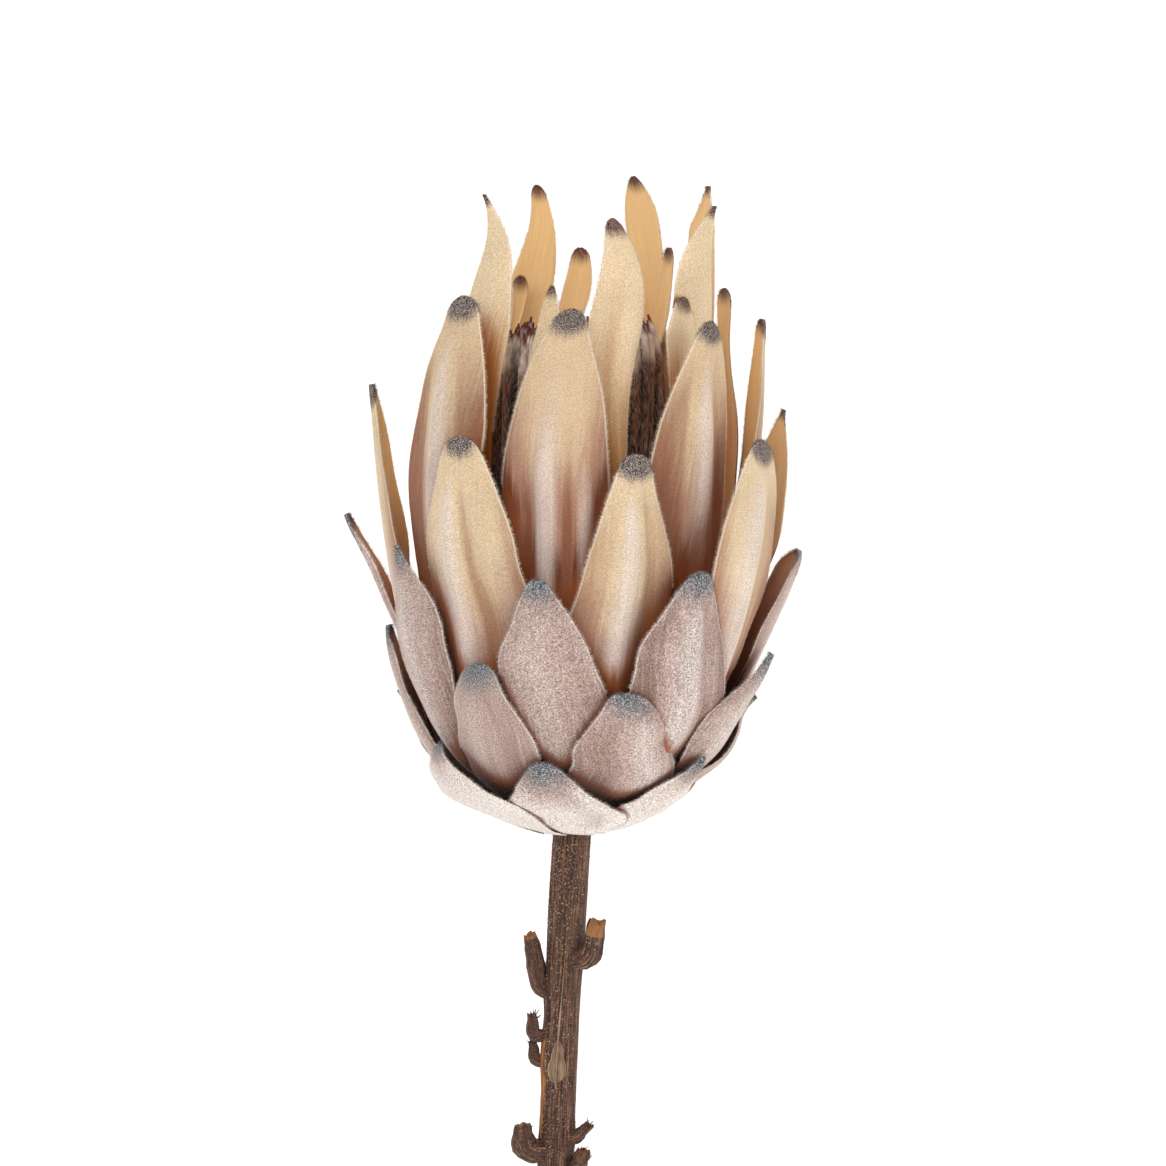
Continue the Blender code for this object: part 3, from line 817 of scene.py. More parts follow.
@dataclass(frozen=True)
class Bract:
    """One bract of the head, dressed as a closed blade with a velvet face and a leathery one."""

    ring: Ring
    number: int
    blade: Blade
    thickness: float = 0.62
    edge_thinning: float = 0.55
    shingle: float = 0.55           # how far the lower part lays one margin over the next bract
    hood: float = 0.35              # how far the tip bends inwards
    ripple: float = 0.16            # height of the margins' ripples
    uneven_width: float = 0.012     # as a share
    uneven_line: float = 0.12

    @property
    def node(self) -> str:
        """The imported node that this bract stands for."""
        return f"{self.ring.name}_{self.number}"

    @property
    def seed(self) -> int:
        """A number of the bract's own."""
        return sum(map(ord, self.ring.name)) * 31 + self.number * 7

    def folds(self) -> tuple[Fold, ...]:
        """The bract's own folds, or gentle ones of its ring's kind."""
        if self.blade.folds:
            return self.blade.folds
        chance = np.random.default_rng(self.seed)
        place = chance.uniform(-0.35, 0.35)
        return (keel(place, place * 0.6, chance.uniform(0.5, 1.3)),
                Fold(place - 0.6, place * 0.4 - 0.5, chance.uniform(-0.5, 0.3), 0.2),
                Fold(place + 0.6, place * 0.4 + 0.5, chance.uniform(-0.5, 0.3), 0.2))

    def grid(self) -> BladeGrid:
        """Work out the blade's middle surface with its folds, curl and unevenness.

        Returns:
            The surface, turned to the bract's azimuth.
        """
        ring, blade = self.ring, self.blade
        shares = 1.0 - (1.0 - np.linspace(0.0, 1.0, ring.rows + 1)) ** ROW_CROWDING
        midrib, length = smooth_curve(ring.knots + ((blade.reach, blade.height),), shares)
        phases = np.random.default_rng(self.seed + 1).uniform(0.0, math.tau, 6)
        widths = self.half_widths(shares, length) * (
            1.0 + self.uneven_width * waves(shares, (1.7, 3.1, 5.3), phases))

        # The midrib's line, out from the axis and sideways.
        swell = blade.belly * np.sin(math.pi * shares ** BELLY_PLACE) ** 2
        radius = (midrib[:, 0] + (swell + blade.lift * step_between(shares, 0.2, 0.5)))[:, None]
        near_tip = np.clip(1.0 - (1.0 - shares) * length / HOOK_REACH, 0.0, 1.0)
        stray = self.uneven_line * waves(shares, (1.3, 2.6, 4.4), phases[3:])
        sideways = (blade.hook * near_tip ** 2 + stray * step_between(shares, 0.3, 0.7)
                    + blade.sway * np.sin(math.pi * step_between(shares, 0.35, 1.0)) ** 2
                    + blade.slant * np.sin(math.pi * shares) ** 2)
        share, across = shares[:, None], np.linspace(-1.0, 1.0, ring.columns + 1)[None, :]
        turn = (across * widths[:, None] + sideways[:, None]) / radius
        turn = turn + np.radians(blade.drift) * share ** 3 + math.radians(blade.azimuth)
        base = around(radius, turn, midrib[:, 1][:, None])

        # What lifts the blade out from that line, place by place.
        lift = sum((fold.lift(share, across) for fold in self.folds()), np.zeros_like(turn))
        free = step_between(share, 0.2, 0.5)
        curl = -ring.curl * across ** 4 * free
        shingle = self.shingle * across * (1.0 - step_between(share, 0.3, 0.75))
        hood = -self.hood * np.exp(-(1.0 - share) * length / 3.0) * (1.0 + 0.8 * across ** 2)
        ripple = np.sin(math.tau * share * 4.1 + 2.4 * across + phases[0]) * np.abs(across) ** 1.5
        twist = (-math.sin(math.radians(blade.twist)) * across * widths[:, None]
                 * step_between(share, 0.25, 0.7))
        # The skirt pales towards its foot: partly its own colour, partly painted light from below.
        out = lift + curl + hood + self.ripple * ripple * free + twist + shingle
        middle = base + self.normals_of(base) * out[..., None]
        return BladeGrid(middle, self.normals_of(middle), across[0], widths, shares * length, length, lift)

    def half_widths(self, shares: np.ndarray, length: float) -> np.ndarray:
        """Find half-widths along the blade: a narrow foot, a broad middle and a blunt or needle-like tip.

        Args:
            shares: (rows,) shares of the length.
            length: the blade's length.

        Returns:
            (rows,) half-widths.
        """
        ring, blade = self.ring, self.blade
        widest_at, taper = blade.widest_at or ring.widest_at, blade.taper or ring.taper
        rise = np.clip(shares / widest_at, 0.0, 1.0) ** blade.waist
        fall = np.clip((shares - widest_at) / (1.0 - widest_at), 0.0, 1.0)
        below = ring.foot_half_width + (blade.half_width - ring.foot_half_width) * step_between(rise, 0.0, 1.0)
        above = blade.half_width * (1.0 - fall ** taper)
        from_tip = (1.0 - shares) * length / TIP_BLUNT_REACH
        rounding = blade.blunt ** 2 * from_tip * np.exp(1.0 - from_tip)
        widths = np.sqrt(np.where(shares < widest_at, below, above) ** 2 + rounding)
        return np.maximum(widths, SMALLEST_HALF_WIDTH)

    @staticmethod
    def normals_of(grid: np.ndarray) -> np.ndarray:
        """Unit normals of a grid of points."""
        return unit(np.cross(np.gradient(grid, axis=1), np.gradient(grid, axis=0)))

    def build(self, grid: BladeGrid, shelter: tuple[np.ndarray, np.ndarray], velvet: bpy.types.Material,
              leather: bpy.types.Material) -> None:
        """Build the bract as one closed piece.

        Args:
            grid: its surface.
            shelter: how sheltered its outer and inner faces are, (rows, columns) each.
            velvet: the outer face's material.
            leather: the inner face's material.
        """
        middle, (rows, columns) = grid.middle, grid.middle.shape[:2]
        half = 0.5 * self.thickness * (1.0 - self.edge_thinning * grid.across ** 2)[None, :, None]
        outward = grid.normals * half
        side = unit(middle[:, -1:] - middle[:, :1]) * 0.5 * half[0, 0, 0]
        # Round the blade: its outer face from left to right, its right margin, its inner face from right to
        # left, its left margin.
        loop = np.concatenate([middle + outward, middle[:, -1:] + side, (middle - outward)[:, ::-1],
                               middle[:, :1] - side], axis=1)
        width = loop.shape[1]
        index = np.arange(rows * width).reshape(rows, width)
        ends = [np.stack([row[:columns - 1], row[1:columns], row[2 * columns - 1:columns:-1],
                          row[2 * columns:columns + 1:-1]], axis=-1) for row in (index[0], index[-1])]
        corners = [np.array([row[columns - 1:columns + 2], (row[2 * columns], row[2 * columns + 1], row[0])])
                   for row in (index[0], index[-1])]
        name = f"{self.node}_blade"
        mesh = make_mesh(name, loop.reshape(-1, 3), wall_faces(index), ends[0][:, ::-1], ends[1],
                         corners[0][:, ::-1], corners[1])

        # What the finishes read; each margin takes its values from the edge of the outer face.
        across = np.concatenate([grid.across, [1.0], grid.across[::-1], [-1.0]])[None, :]
        along = np.broadcast_to(grid.along[:, None], (rows, width))
        sideways = across * grid.widths[:, None]
        to_tip = np.hypot(grid.length - along, sideways)
        needle = max(0.0, 1.5 - self.blade.blunt)
        to_tip = to_tip * (1.0 + NEEDLE_CAP * needle * np.exp(-to_tip / 12.0))
        to_margin = (1.0 - np.abs(across)) * grid.widths[:, None]
        set_attribute(mesh, PLACE, np.stack([sideways, along, np.full(along.shape, float(self.seed))], axis=-1))
        set_attribute(mesh, EDGE, np.stack([to_tip, to_margin, self.wrapped(grid.lift, grid.lift)], axis=-1))
        set_attribute(mesh, SHELTER, self.wrapped(*shelter).ravel())

        # Outer face and margins in velvet, inner face in leather.
        column = np.tile(np.arange(width), rows - 1)
        dress_faces(mesh, np.flatnonzero((column > columns) & (column < 2 * columns)))
        self.lay_out(mesh, grid, width)
        add_piece(name, mesh, [velvet, leather], (self.node,))

    @staticmethod
    def wrapped(outer: np.ndarray, inner: np.ndarray) -> np.ndarray:
        """Lead the values of both faces round the blade, in the order of its points."""
        return np.concatenate([outer, outer[:, -1:], inner[:, ::-1], outer[:, :1]], axis=1)

    def lay_out(self, mesh: bpy.types.Mesh, grid: BladeGrid, width: int) -> None:
        """Lay the blade's faces out flat: the outer face on the left, the inner one on the right.

        Args:
            mesh: the blade's mesh.
            grid: its surface.
            width: how many points lie round the blade.
        """
        rows, columns = grid.middle.shape[:2]
        left, right, reach, seam_width, end_height = 0.25, 0.75, 0.22, 0.01, 0.008
        spread = grid.across[None, :] * grid.widths[:, None] / grid.widths.max() * reach
        seam = spread[:, -1:] + seam_width
        parts = [left + spread, left + seam, right + spread, right + seam, right + seam + seam_width]
        u = np.concatenate(parts, axis=1)
        v = np.broadcast_to(FLAT_START + FLAT_SPAN * grid.along[:, None] / grid.length, u.shape)
        flat = np.stack([u, v], axis=-1)
        corner = cell_corners(flat)
        start, before = flat[:, columns + 1], flat[:, columns + 1] - np.array([seam_width, 0.0])
        corner[:, columns] = np.stack([before[:-1], start[:-1], start[1:], before[1:]], axis=1)
        rest = sum(len(face.vertices) for face in mesh.polygons[(rows - 1) * width:])
        spots = np.random.default_rng(BLADE_LAYOUT_SEED).uniform(-0.006, 0.006, (rest, 2))
        ends = np.array([[left, end_height]]) + spots
        set_uv(mesh, np.concatenate([corner.reshape(-1, 2), ends]))


SKIRT = Ring("skirt_bract", ((6.8, 0.4), (12.5, 2.1), (19.5, 4.9), (27.0, 8.9)),
             6.5, 0.55, 2.2, 34, 20, GREY_VELVET, 0.2)
LOWER = Ring("lower_bract", ((11.6, 4.8), (18.0, 7.6), (25.5, 12.0), (32.0, 18.5), (37.5, 27.0)),
             3.6, 0.62, 2.0, 40, 20, GREY_VELVET)
MIDDLE = Ring("middle_bract", ((15.0, 8.2), (20.5, 11.2), (28.0, 17.0), (34.5, 25.5), (39.5, 38.0)),
              4.2, 0.60, 1.9, 44, 20, GREY_VELVET)
UPPER = Ring("upper_bract", ((17.9, 12.0), (22.7, 15.8), (29.5, 24.0), (34.8, 36.0), (39.0, 55.0)),
             4.0, 0.50, 2.2, 52, 20, TAN_VELVET)
TALL = Ring("tall_bract", ((20.2, 16.0), (24.0, 21.5), (29.0, 32.0), (32.5, 46.0), (35.8, 68.0)),
            4.2, 0.48, 2.5, 60, 22, TAN_VELVET)
INNER = Ring("inner_bract", ((20.9, 20.6), (24.0, 27.4), (27.0, 40.0), (28.6, 56.0), (29.4, 80.0)),
             3.0, 0.84, 2.0, 60, 14, TAN_VELVET)
HEART = Ring("heart_bract", ((20.5, 25.8), (22.5, 31.5), (24.6, 43.0), (25.9, 58.0), (26.3, 82.0)),
             2.2, 0.80, 2.0, 54, 10, TAN_VELVET)

BLADES = {
    SKIRT: (
        Blade(-7.8, 32.5, 17.1, 13.5, drift=-8.3, blunt=3.2, hook=2.1, belly=1.3, taper=1.86, widest_at=0.35,
              sway=-1.8, slant=2.9, lift=0.5,
              folds=(Fold(0.5, 0.3, -0.4, 0.3), )),
        Blade(52.1, 35.1, 17.7, 8.5, drift=5.2, blunt=0.8, hook=1.0, taper=2.0, widest_at=0.5, slant=-2.0,
              lift=0.5,
              folds=(Fold(0.2, 0.1, 0.4, 0.35), )),
        Blade(118, 34, 17, 11.5),
        Blade(180, 33, 17, 11.5),
        Blade(-121.5, 34, 17, 11.5),
        Blade(-66.4, 39.2, 21.3, 13.8, drift=11.1, blunt=0.3, hook=4.6, belly=2.0, taper=1.05, widest_at=0.47,
              sway=1.5, slant=3.7, lift=0.5,
              folds=(Fold(0.1, 0.0, 0.4, 0.4), )),
    ),
    LOWER: (
        Blade(-38.5, 41.5, 39.2, 10.4, drift=9.5, blunt=4.2, hook=-1.2, belly=-0.9, taper=2.65, widest_at=0.39,
              sway=1.1, slant=2.5, lift=0.5,
              folds=(keel(-0.5, -0.35, 0.9, 0.8), Fold(0.5, 0.3, -0.25, 0.3))),
        Blade(25, 41, 32.6, 13.6, drift=-3.9, blunt=4.5, hook=-3.3, belly=0.8, taper=2.52, widest_at=0.35,
              sway=-2.6, slant=0.6, lift=0.6,
              folds=(keel(0.35, 0.35, 1.5, 0.7), Fold(-0.5, -0.4, -0.25, 0.3))),
        Blade(68.4, 46.7, 41, 11, drift=13.8, hook=-1.3, belly=1.6, taper=1.05, widest_at=0.69, sway=-2.0,
              slant=-1.5,
              folds=(keel(0.0, 0.0, 1.8, 1.1, 0.45, 1.0), )),
        Blade(97.5, 42.6, 31, 8.0, drift=-12.8, blunt=0.8, belly=3.2, sway=4.5, slant=-5.2, twist=9),
        Blade(153, 42, 36, 10.5),
        Blade(-167, 41, 36, 10.5),
        Blade(-125.4, 41.7, 32.3, 10.8, drift=22.7, belly=2.9),
        Blade(-96.1, 44.6, 47.5, 11.2, drift=-10.7, blunt=2.2, hook=1.6, belly=-1.1, taper=1.16, widest_at=0.53,
              sway=-0.4, slant=1.8,
              folds=(keel(0.0, 0.0, 2.4, 1.1, 0.3, 1.0), )),
    ),
    MIDDLE: (
        Blade(-4.6, 46.5, 58.1, 11.8, drift=-6.7, blunt=2.4, hook=1.3, taper=1.81, widest_at=0.56, sway=-2.0,
              slant=0.8,
              folds=(Fold(-0.15, -0.2, 0.45, 0.5), Fold(0.65, 0.5, -0.3, 0.3))),
        Blade(39.5, 47.5, 59.6, 14.8, drift=-4.9, blunt=3.4, hook=3.3, belly=3.4, taper=2.63, widest_at=0.36,
              sway=-2.0, slant=1.2,
              folds=(keel(-0.15, 0.1, 2.0, 0.8), Fold(-0.15, 0.1, 0.5, 0.1), Fold(0.3, 0.45, -0.8, 0.16),
                     Fold(-0.5, -0.75, -0.8, 0.14))),
        Blade(93, 53, 64.7, 12.3, drift=-3.6, blunt=0.9, hook=4.8, belly=0.9, taper=3.63, widest_at=0.89,
              sway=-2.4, slant=1.2, twist=6,
              folds=(keel(0.0, 0.0, 2.4, 1.1, 0.3, 1.0), )),
        Blade(121, 49, 62, 10.5, belly=2.0),
        Blade(157, 52, 67, 11),
        Blade(-157, 52, 67, 11),
        Blade(-106.5, 55.2, 73.3, 8.0, drift=-4.5, hook=4.8, belly=-2.9, taper=1.05, widest_at=0.32, sway=4.0,
              slant=-0.1,
              folds=(keel(0.0, 0.0, 2.0, 1.1, 0.3, 1.0), )),
        Blade(-60.9, 46.5, 65.7, 11.4, drift=7.3, blunt=1.2, hook=-4.8, belly=0.3, taper=1.11, widest_at=0.72,
              sway=-2.0, slant=1.1,
              folds=(keel(0.0, -0.1), )),
    ),
    UPPER: (
        Blade(-36.7, 45.3, 89.9, 14.4, drift=2.9, blunt=4.2, hook=-0.3, taper=3.83, widest_at=0.3, sway=-2.3,
              slant=2.6,
              folds=(keel(-0.3, -0.3, 1.9, 0.8), Fold(-0.3, -0.3, 0.6, 0.1), Fold(0.45, -0.15, -1.3, 0.16),
                     Fold(0.85, 0.5, 0.7, 0.2))),
        Blade(17.9, 44, 85.8, 13.2, drift=2.0, blunt=3.6, hook=-0.2, taper=2.61, widest_at=0.3, sway=1.3,
              slant=-0.8,
              folds=(keel(0.0, -0.12, 1.6, 0.7), Fold(0.0, -0.12, 0.5, 0.12), Fold(0.36, 0.45, -0.9, 0.14),
                     Fold(-0.5, -0.45, -0.5, 0.2))),
        Blade(65.2, 50.1, 89.3, 13.1, drift=-0.9, blunt=4.5, hook=-4.2, belly=7.1, taper=2.07, widest_at=0.76,
              sway=-1.7, slant=-4.4,
              folds=(keel(0.0, -0.3, 2.3, 0.8), Fold(0.0, -0.3, 0.8, 0.1), Fold(0.25, 0.2, -0.7, 0.2))),
        Blade(109.3, 53.8, 97.8, 9.0, drift=2.0, blunt=0.6, hook=0.1, belly=3.8, taper=2.62, widest_at=0.61,
              sway=-3.6, slant=1.3, twist=12),
        Blade(158, 46, 92, 11, blunt=2.0),
        Blade(-145, 46, 92, 11, blunt=2.0),
        Blade(-97.1, 47.4, 103.3, 11.7, drift=-6.4, blunt=1.9, hook=4.2, belly=0.6, taper=1.05, widest_at=0.62,
              sway=-2.1, slant=6.0,
              folds=(keel(0.0, 0.0, 2.4, 1.1, 0.3, 1.0), )),
    ),
    TALL: (
        Blade(-6.6, 38.5, 118.3, 12.7, drift=6.0, blunt=3.1, hook=0.2, taper=4.66, widest_at=0.3, sway=-0.6,
              slant=-0.1,
              folds=(Fold(-0.18, -0.18, 1.2, 0.18, 0.2, 0.76), Fold(-0.55, -0.5, -1.3, 0.18, 0.2, 0.68),
                     Fold(0.14, 0.3, -1.2, 0.13, 0.2, 0.70), Fold(0.48, 0.6, 0.9, 0.18, 0.2, 0.72),
                     keel(-0.2, -0.2, 0.7, 0.9, 0.5, 0.95))),
        Blade(50, 41, 116.1, 13.8, drift=-0.3, blunt=3.3, hook=0.6, belly=1.2, taper=4.36, widest_at=0.36,
              sway=0.1, slant=-2.9,
              folds=(keel(0.85, -0.2, 1.8, 0.7), Fold(0.85, -0.2, 0.6, 0.1), Fold(-0.2, -0.6, -0.8, 0.2),
                     Fold(1.15, 0.25, -1.0, 0.16))),
        Blade(97.2, 47.3, 118.7, 8.3, drift=11.1, blunt=2.7, hook=0.3, belly=3.1, taper=2.97, widest_at=0.49,
              sway=-1.9, slant=0.2,
              folds=(keel(0.0, 0.0, 1.8, 1.1, 0.3, 1.0), )),
        Blade(119.8, 42.4, 126.5, 6.9, drift=1.4, blunt=2.8, belly=3.2, taper=1.05, widest_at=0.58, sway=-0.3,
              slant=-3.3),
        Blade(163, 38, 114, 11, blunt=2.0),
        Blade(-150, 38, 114, 11, blunt=2.0),
        Blade(-102, 33, 96, 8.0, blunt=2.0),
        Blade(-53.6, 37, 121.8, 16.4, drift=13.7, blunt=4.3, hook=-1.7, belly=2.4, taper=3.84, widest_at=0.3,
              sway=1.2, slant=-6.5,
              folds=(keel(1.1, -0.3, 2.0, 0.7), Fold(1.1, -0.3, 0.8, 0.08),
                     Fold(0.25, -0.85, -1.3, 0.34, 0.1, 0.85), Fold(1.4, 0.15, -0.8, 0.16))),
    ),
    INNER: (
        Blade(-11.7, 28.5, 124.1, 6.4, drift=2.7, blunt=0.9, hook=0.2, taper=1.23, widest_at=0.76, sway=-0.5,
              slant=0.6,
              folds=(keel(-0.1, 0.0, 0.8), )),
        Blade(25.2, 29, 139.3, 6.5, drift=-1.9, blunt=1.9, hook=-2.1, taper=2.09, widest_at=0.79, waist=3.0,
              sway=-2.4, slant=-3.2,
              folds=(Fold(-0.1, -0.1, -0.5, 0.4), Fold(0.6, 0.6, 0.3, 0.3))),
        Blade(55.2, 31, 122.1, 5.7, drift=0.2, blunt=3.3, hook=0.3, taper=1.05, widest_at=0.91, waist=1.88,
              sway=2.4, slant=2.8,
              folds=(keel(0.2, 0.2, 0.6), )),
        Blade(104.5, 32.5, 149.1, 6.7, drift=1.0, blunt=0.3, hook=-3.8, belly=1.2, taper=1.05, widest_at=0.93,
              waist=0.5, sway=-4.5, slant=2.0, twist=10,
              folds=(keel(0.1, 0.1, 0.7), )),
        Blade(136.5, 27, 152.9, 4.8, drift=8.0, hook=1.0, taper=2.36, widest_at=0.91, waist=0.5, sway=4.5,
              slant=-7.0,
              folds=(Fold(0.0, 0.0, 0.5, 0.4), )),
        Blade(-158.6, 28, 151.2, 5.6, drift=-9.8, blunt=1.7, hook=3.0, taper=1.18, widest_at=0.83, sway=1.9,
              slant=5.4,
              folds=(Fold(0.2, 0.1, 0.5, 0.4), )),
        Blade(-118, 28, 116, 5.0),
        Blade(-82, 28, 110, 5.0),
        Blade(-41.3, 29.5, 145.1, 8.1, drift=9.8, blunt=0.3, hook=-5.8, taper=1.05, widest_at=0.76, waist=0.5,
              sway=-0.4, slant=-6.8,
              folds=(Fold(0.1, 0.0, 0.5, 0.5), )),
    ),
    HEART: (
        Blade(-147.1, 25.5, 129.5, 1.9, drift=-5.0, blunt=2.1, hook=0.5, taper=1.05, widest_at=0.44, sway=4.5,
              slant=8.2),
        Blade(53.5, 35, 143.1, 7.5, drift=7.6, blunt=0.3, hook=5.8, taper=2.71, widest_at=0.68, sway=4.5,
              slant=8.1, twist=-14),
        Blade(130.7, 26.5, 135.4, 3.5, drift=-12.3, blunt=2.2, hook=0.4, taper=1.89, widest_at=0.75, sway=4.5,
              slant=8.2),
        Blade(181.7, 26, 136.4, 3.2, drift=-8.0, blunt=2.0, hook=1.1, taper=1.48, widest_at=0.9, waist=1.05,
              sway=4.5, slant=8.2),
        Blade(-114, 25, 118, 3.4),
        Blade(-82, 25, 114, 3.0),
    ),
}


# ---------------------------------------------------------------- shelter
@dataclass(frozen=True)
class Crowd:
    """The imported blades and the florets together, to find out which spots they close in."""

    grids: tuple
    reach: float = 20.0             # how far away a neighbour still shelters, in millimetres
    rays: int = 24
    clearance: float = 0.5

    def tree(self) -> BVHTree:
        """Gather every blade, and the florets' wall, as one body to look at."""
        radii, heights = np.array(FloretMass.wall).T
        wall = around(radii, np.linspace(0.0, math.tau, 25)[:, None], heights)
        points, faces = [], []
        for surface in (*(grid.middle for grid in self.grids), wall):
            index = len(points) + np.arange(surface.size // 3).reshape(surface.shape[:2])
            faces += sheet_faces(index).tolist()
            points += surface.reshape(-1, 3).tolist()
        return BVHTree.FromPolygons(points, faces)

    def measure(self, tree: BVHTree, grid: BladeGrid, side: float) -> np.ndarray:
        """Look out from one face of a blade and see how much of the view is closed off nearby.

        Args:
            tree: the crowd as one body.
            grid: the blade's surface.
            side: 1 for its outer face, -1 for its inner one.

        Returns:
            (rows, columns) shares from 0 to 1.
        """
        middle, normals = grid.middle[::2, ::2], grid.normals[::2, ::2] * side
        order = np.arange(self.rays) + 0.5
        tilt = np.sqrt(order / self.rays)[:, None]
        helper = unit(np.cross(normals, [[[0.31, 0.17, 0.94]]]))
        other = np.cross(normals, helper)
        closed = np.zeros(middle.shape[:2])
        for row, column in np.ndindex(closed.shape):
            normal = normals[row, column]
            start = middle[row, column] + normal * self.clearance
            turn = (order * GOLDEN_TURN + 1.7 * row + 2.9 * column)[:, None]
            ways = (helper[row, column] * (tilt * np.cos(turn)) + other[row, column] * (tilt * np.sin(turn))
                    + normal * np.sqrt(1.0 - tilt ** 2))
            found = (tree.ray_cast(start, way, self.reach)[3] for way in ways)
            shares = (1.0 - 0.5 * far / self.reach for far in found if far is not None)
            closed[row, column] = sum(shares) / self.rays
        closed[1:-1] = 0.25 * closed[:-2] + 0.5 * closed[1:-1] + 0.25 * closed[2:]
        closed[:, 1:-1] = 0.25 * closed[:, :-2] + 0.5 * closed[:, 1:-1] + 0.25 * closed[:, 2:]
        rows, columns = (np.arange(count) / 2.0 for count in grid.middle.shape[:2])
        wide = np.stack([np.interp(columns, np.arange(closed.shape[1]), line) for line in closed])
        return np.stack([np.interp(rows, np.arange(closed.shape[0]), line) for line in wide.T], axis=1)


# ---------------------------------------------------------------- hairs
@dataclass
class HairCoat:
    """Short plant hairs gathered from many places, each a slender closed spike."""

    name: str
    slot: str
    hair: PlantHair
    roots: list = field(default_factory=list)
    sprouts: list = field(default_factory=list)
    tones: list = field(default_factory=list)
    girths: list = field(default_factory=list)

    def grow(self, roots: np.ndarray, sprouts: np.ndarray, tones: np.ndarray, girth: float) -> None:
        """Add hairs.

        Args:
            roots: (n, 3) upright places.
            sprouts: (n, 3) vectors from root to end.
            tones: (n,) tones from 0 to 1.
            girth: radius at the root.
        """
        self.roots.append(roots)
        self.sprouts.append(sprouts)
        self.tones.append(tones)
        self.girths.append(np.full(len(roots), girth))

    def build(self) -> None:
        """Build all the hairs as one piece."""
        roots, sprouts, tones, girths = map(np.concatenate, (self.roots, self.sprouts, self.tones, self.girths))
        count = len(roots)
        along = unit(sprouts)
        helper = np.where(np.abs(along[:, 2:]) < 0.9, [[0.0, 0.0, 1.0]], [[1.0, 0.0, 0.0]])
        first = unit(np.cross(along, helper)) * girths[:, None]
        second = np.cross(along, first)
        base = [roots + first * math.cos(turn) + second * math.sin(turn)
                for turn in (0.0, math.tau / 3, 2 * math.tau / 3)]
        points = np.stack(base + [roots + sprouts], axis=1).reshape(-1, 3)
        spike = np.array([[[0, 1, 3], [1, 2, 3], [2, 0, 3], [0, 2, 1]]])
        faces = (4 * np.arange(count)[:, None, None] + spike).reshape(-1, 3)
        mesh = make_mesh(self.name, points, faces)
        # The tone is also the place on the flat layout, so that a bake gives each hair its own colour.
        ends = np.stack([tones] * 3 + [np.minimum(tones + 0.1, 1.0)], axis=1).ravel()
        set_attribute(mesh, STRAND, ends)
        height = np.random.default_rng(HAIR_LAYOUT_SEED).uniform(0.02, 0.97, count)
        height = np.repeat(height, 4) + np.tile([0.0, 0.006, 0.0, 0.003], count)
        set_uv(mesh, np.stack([FLAT_START + FLAT_SPAN * ends, height], axis=-1)[faces.ravel()])
        add_piece(self.name, mesh, [self.hair.build()])


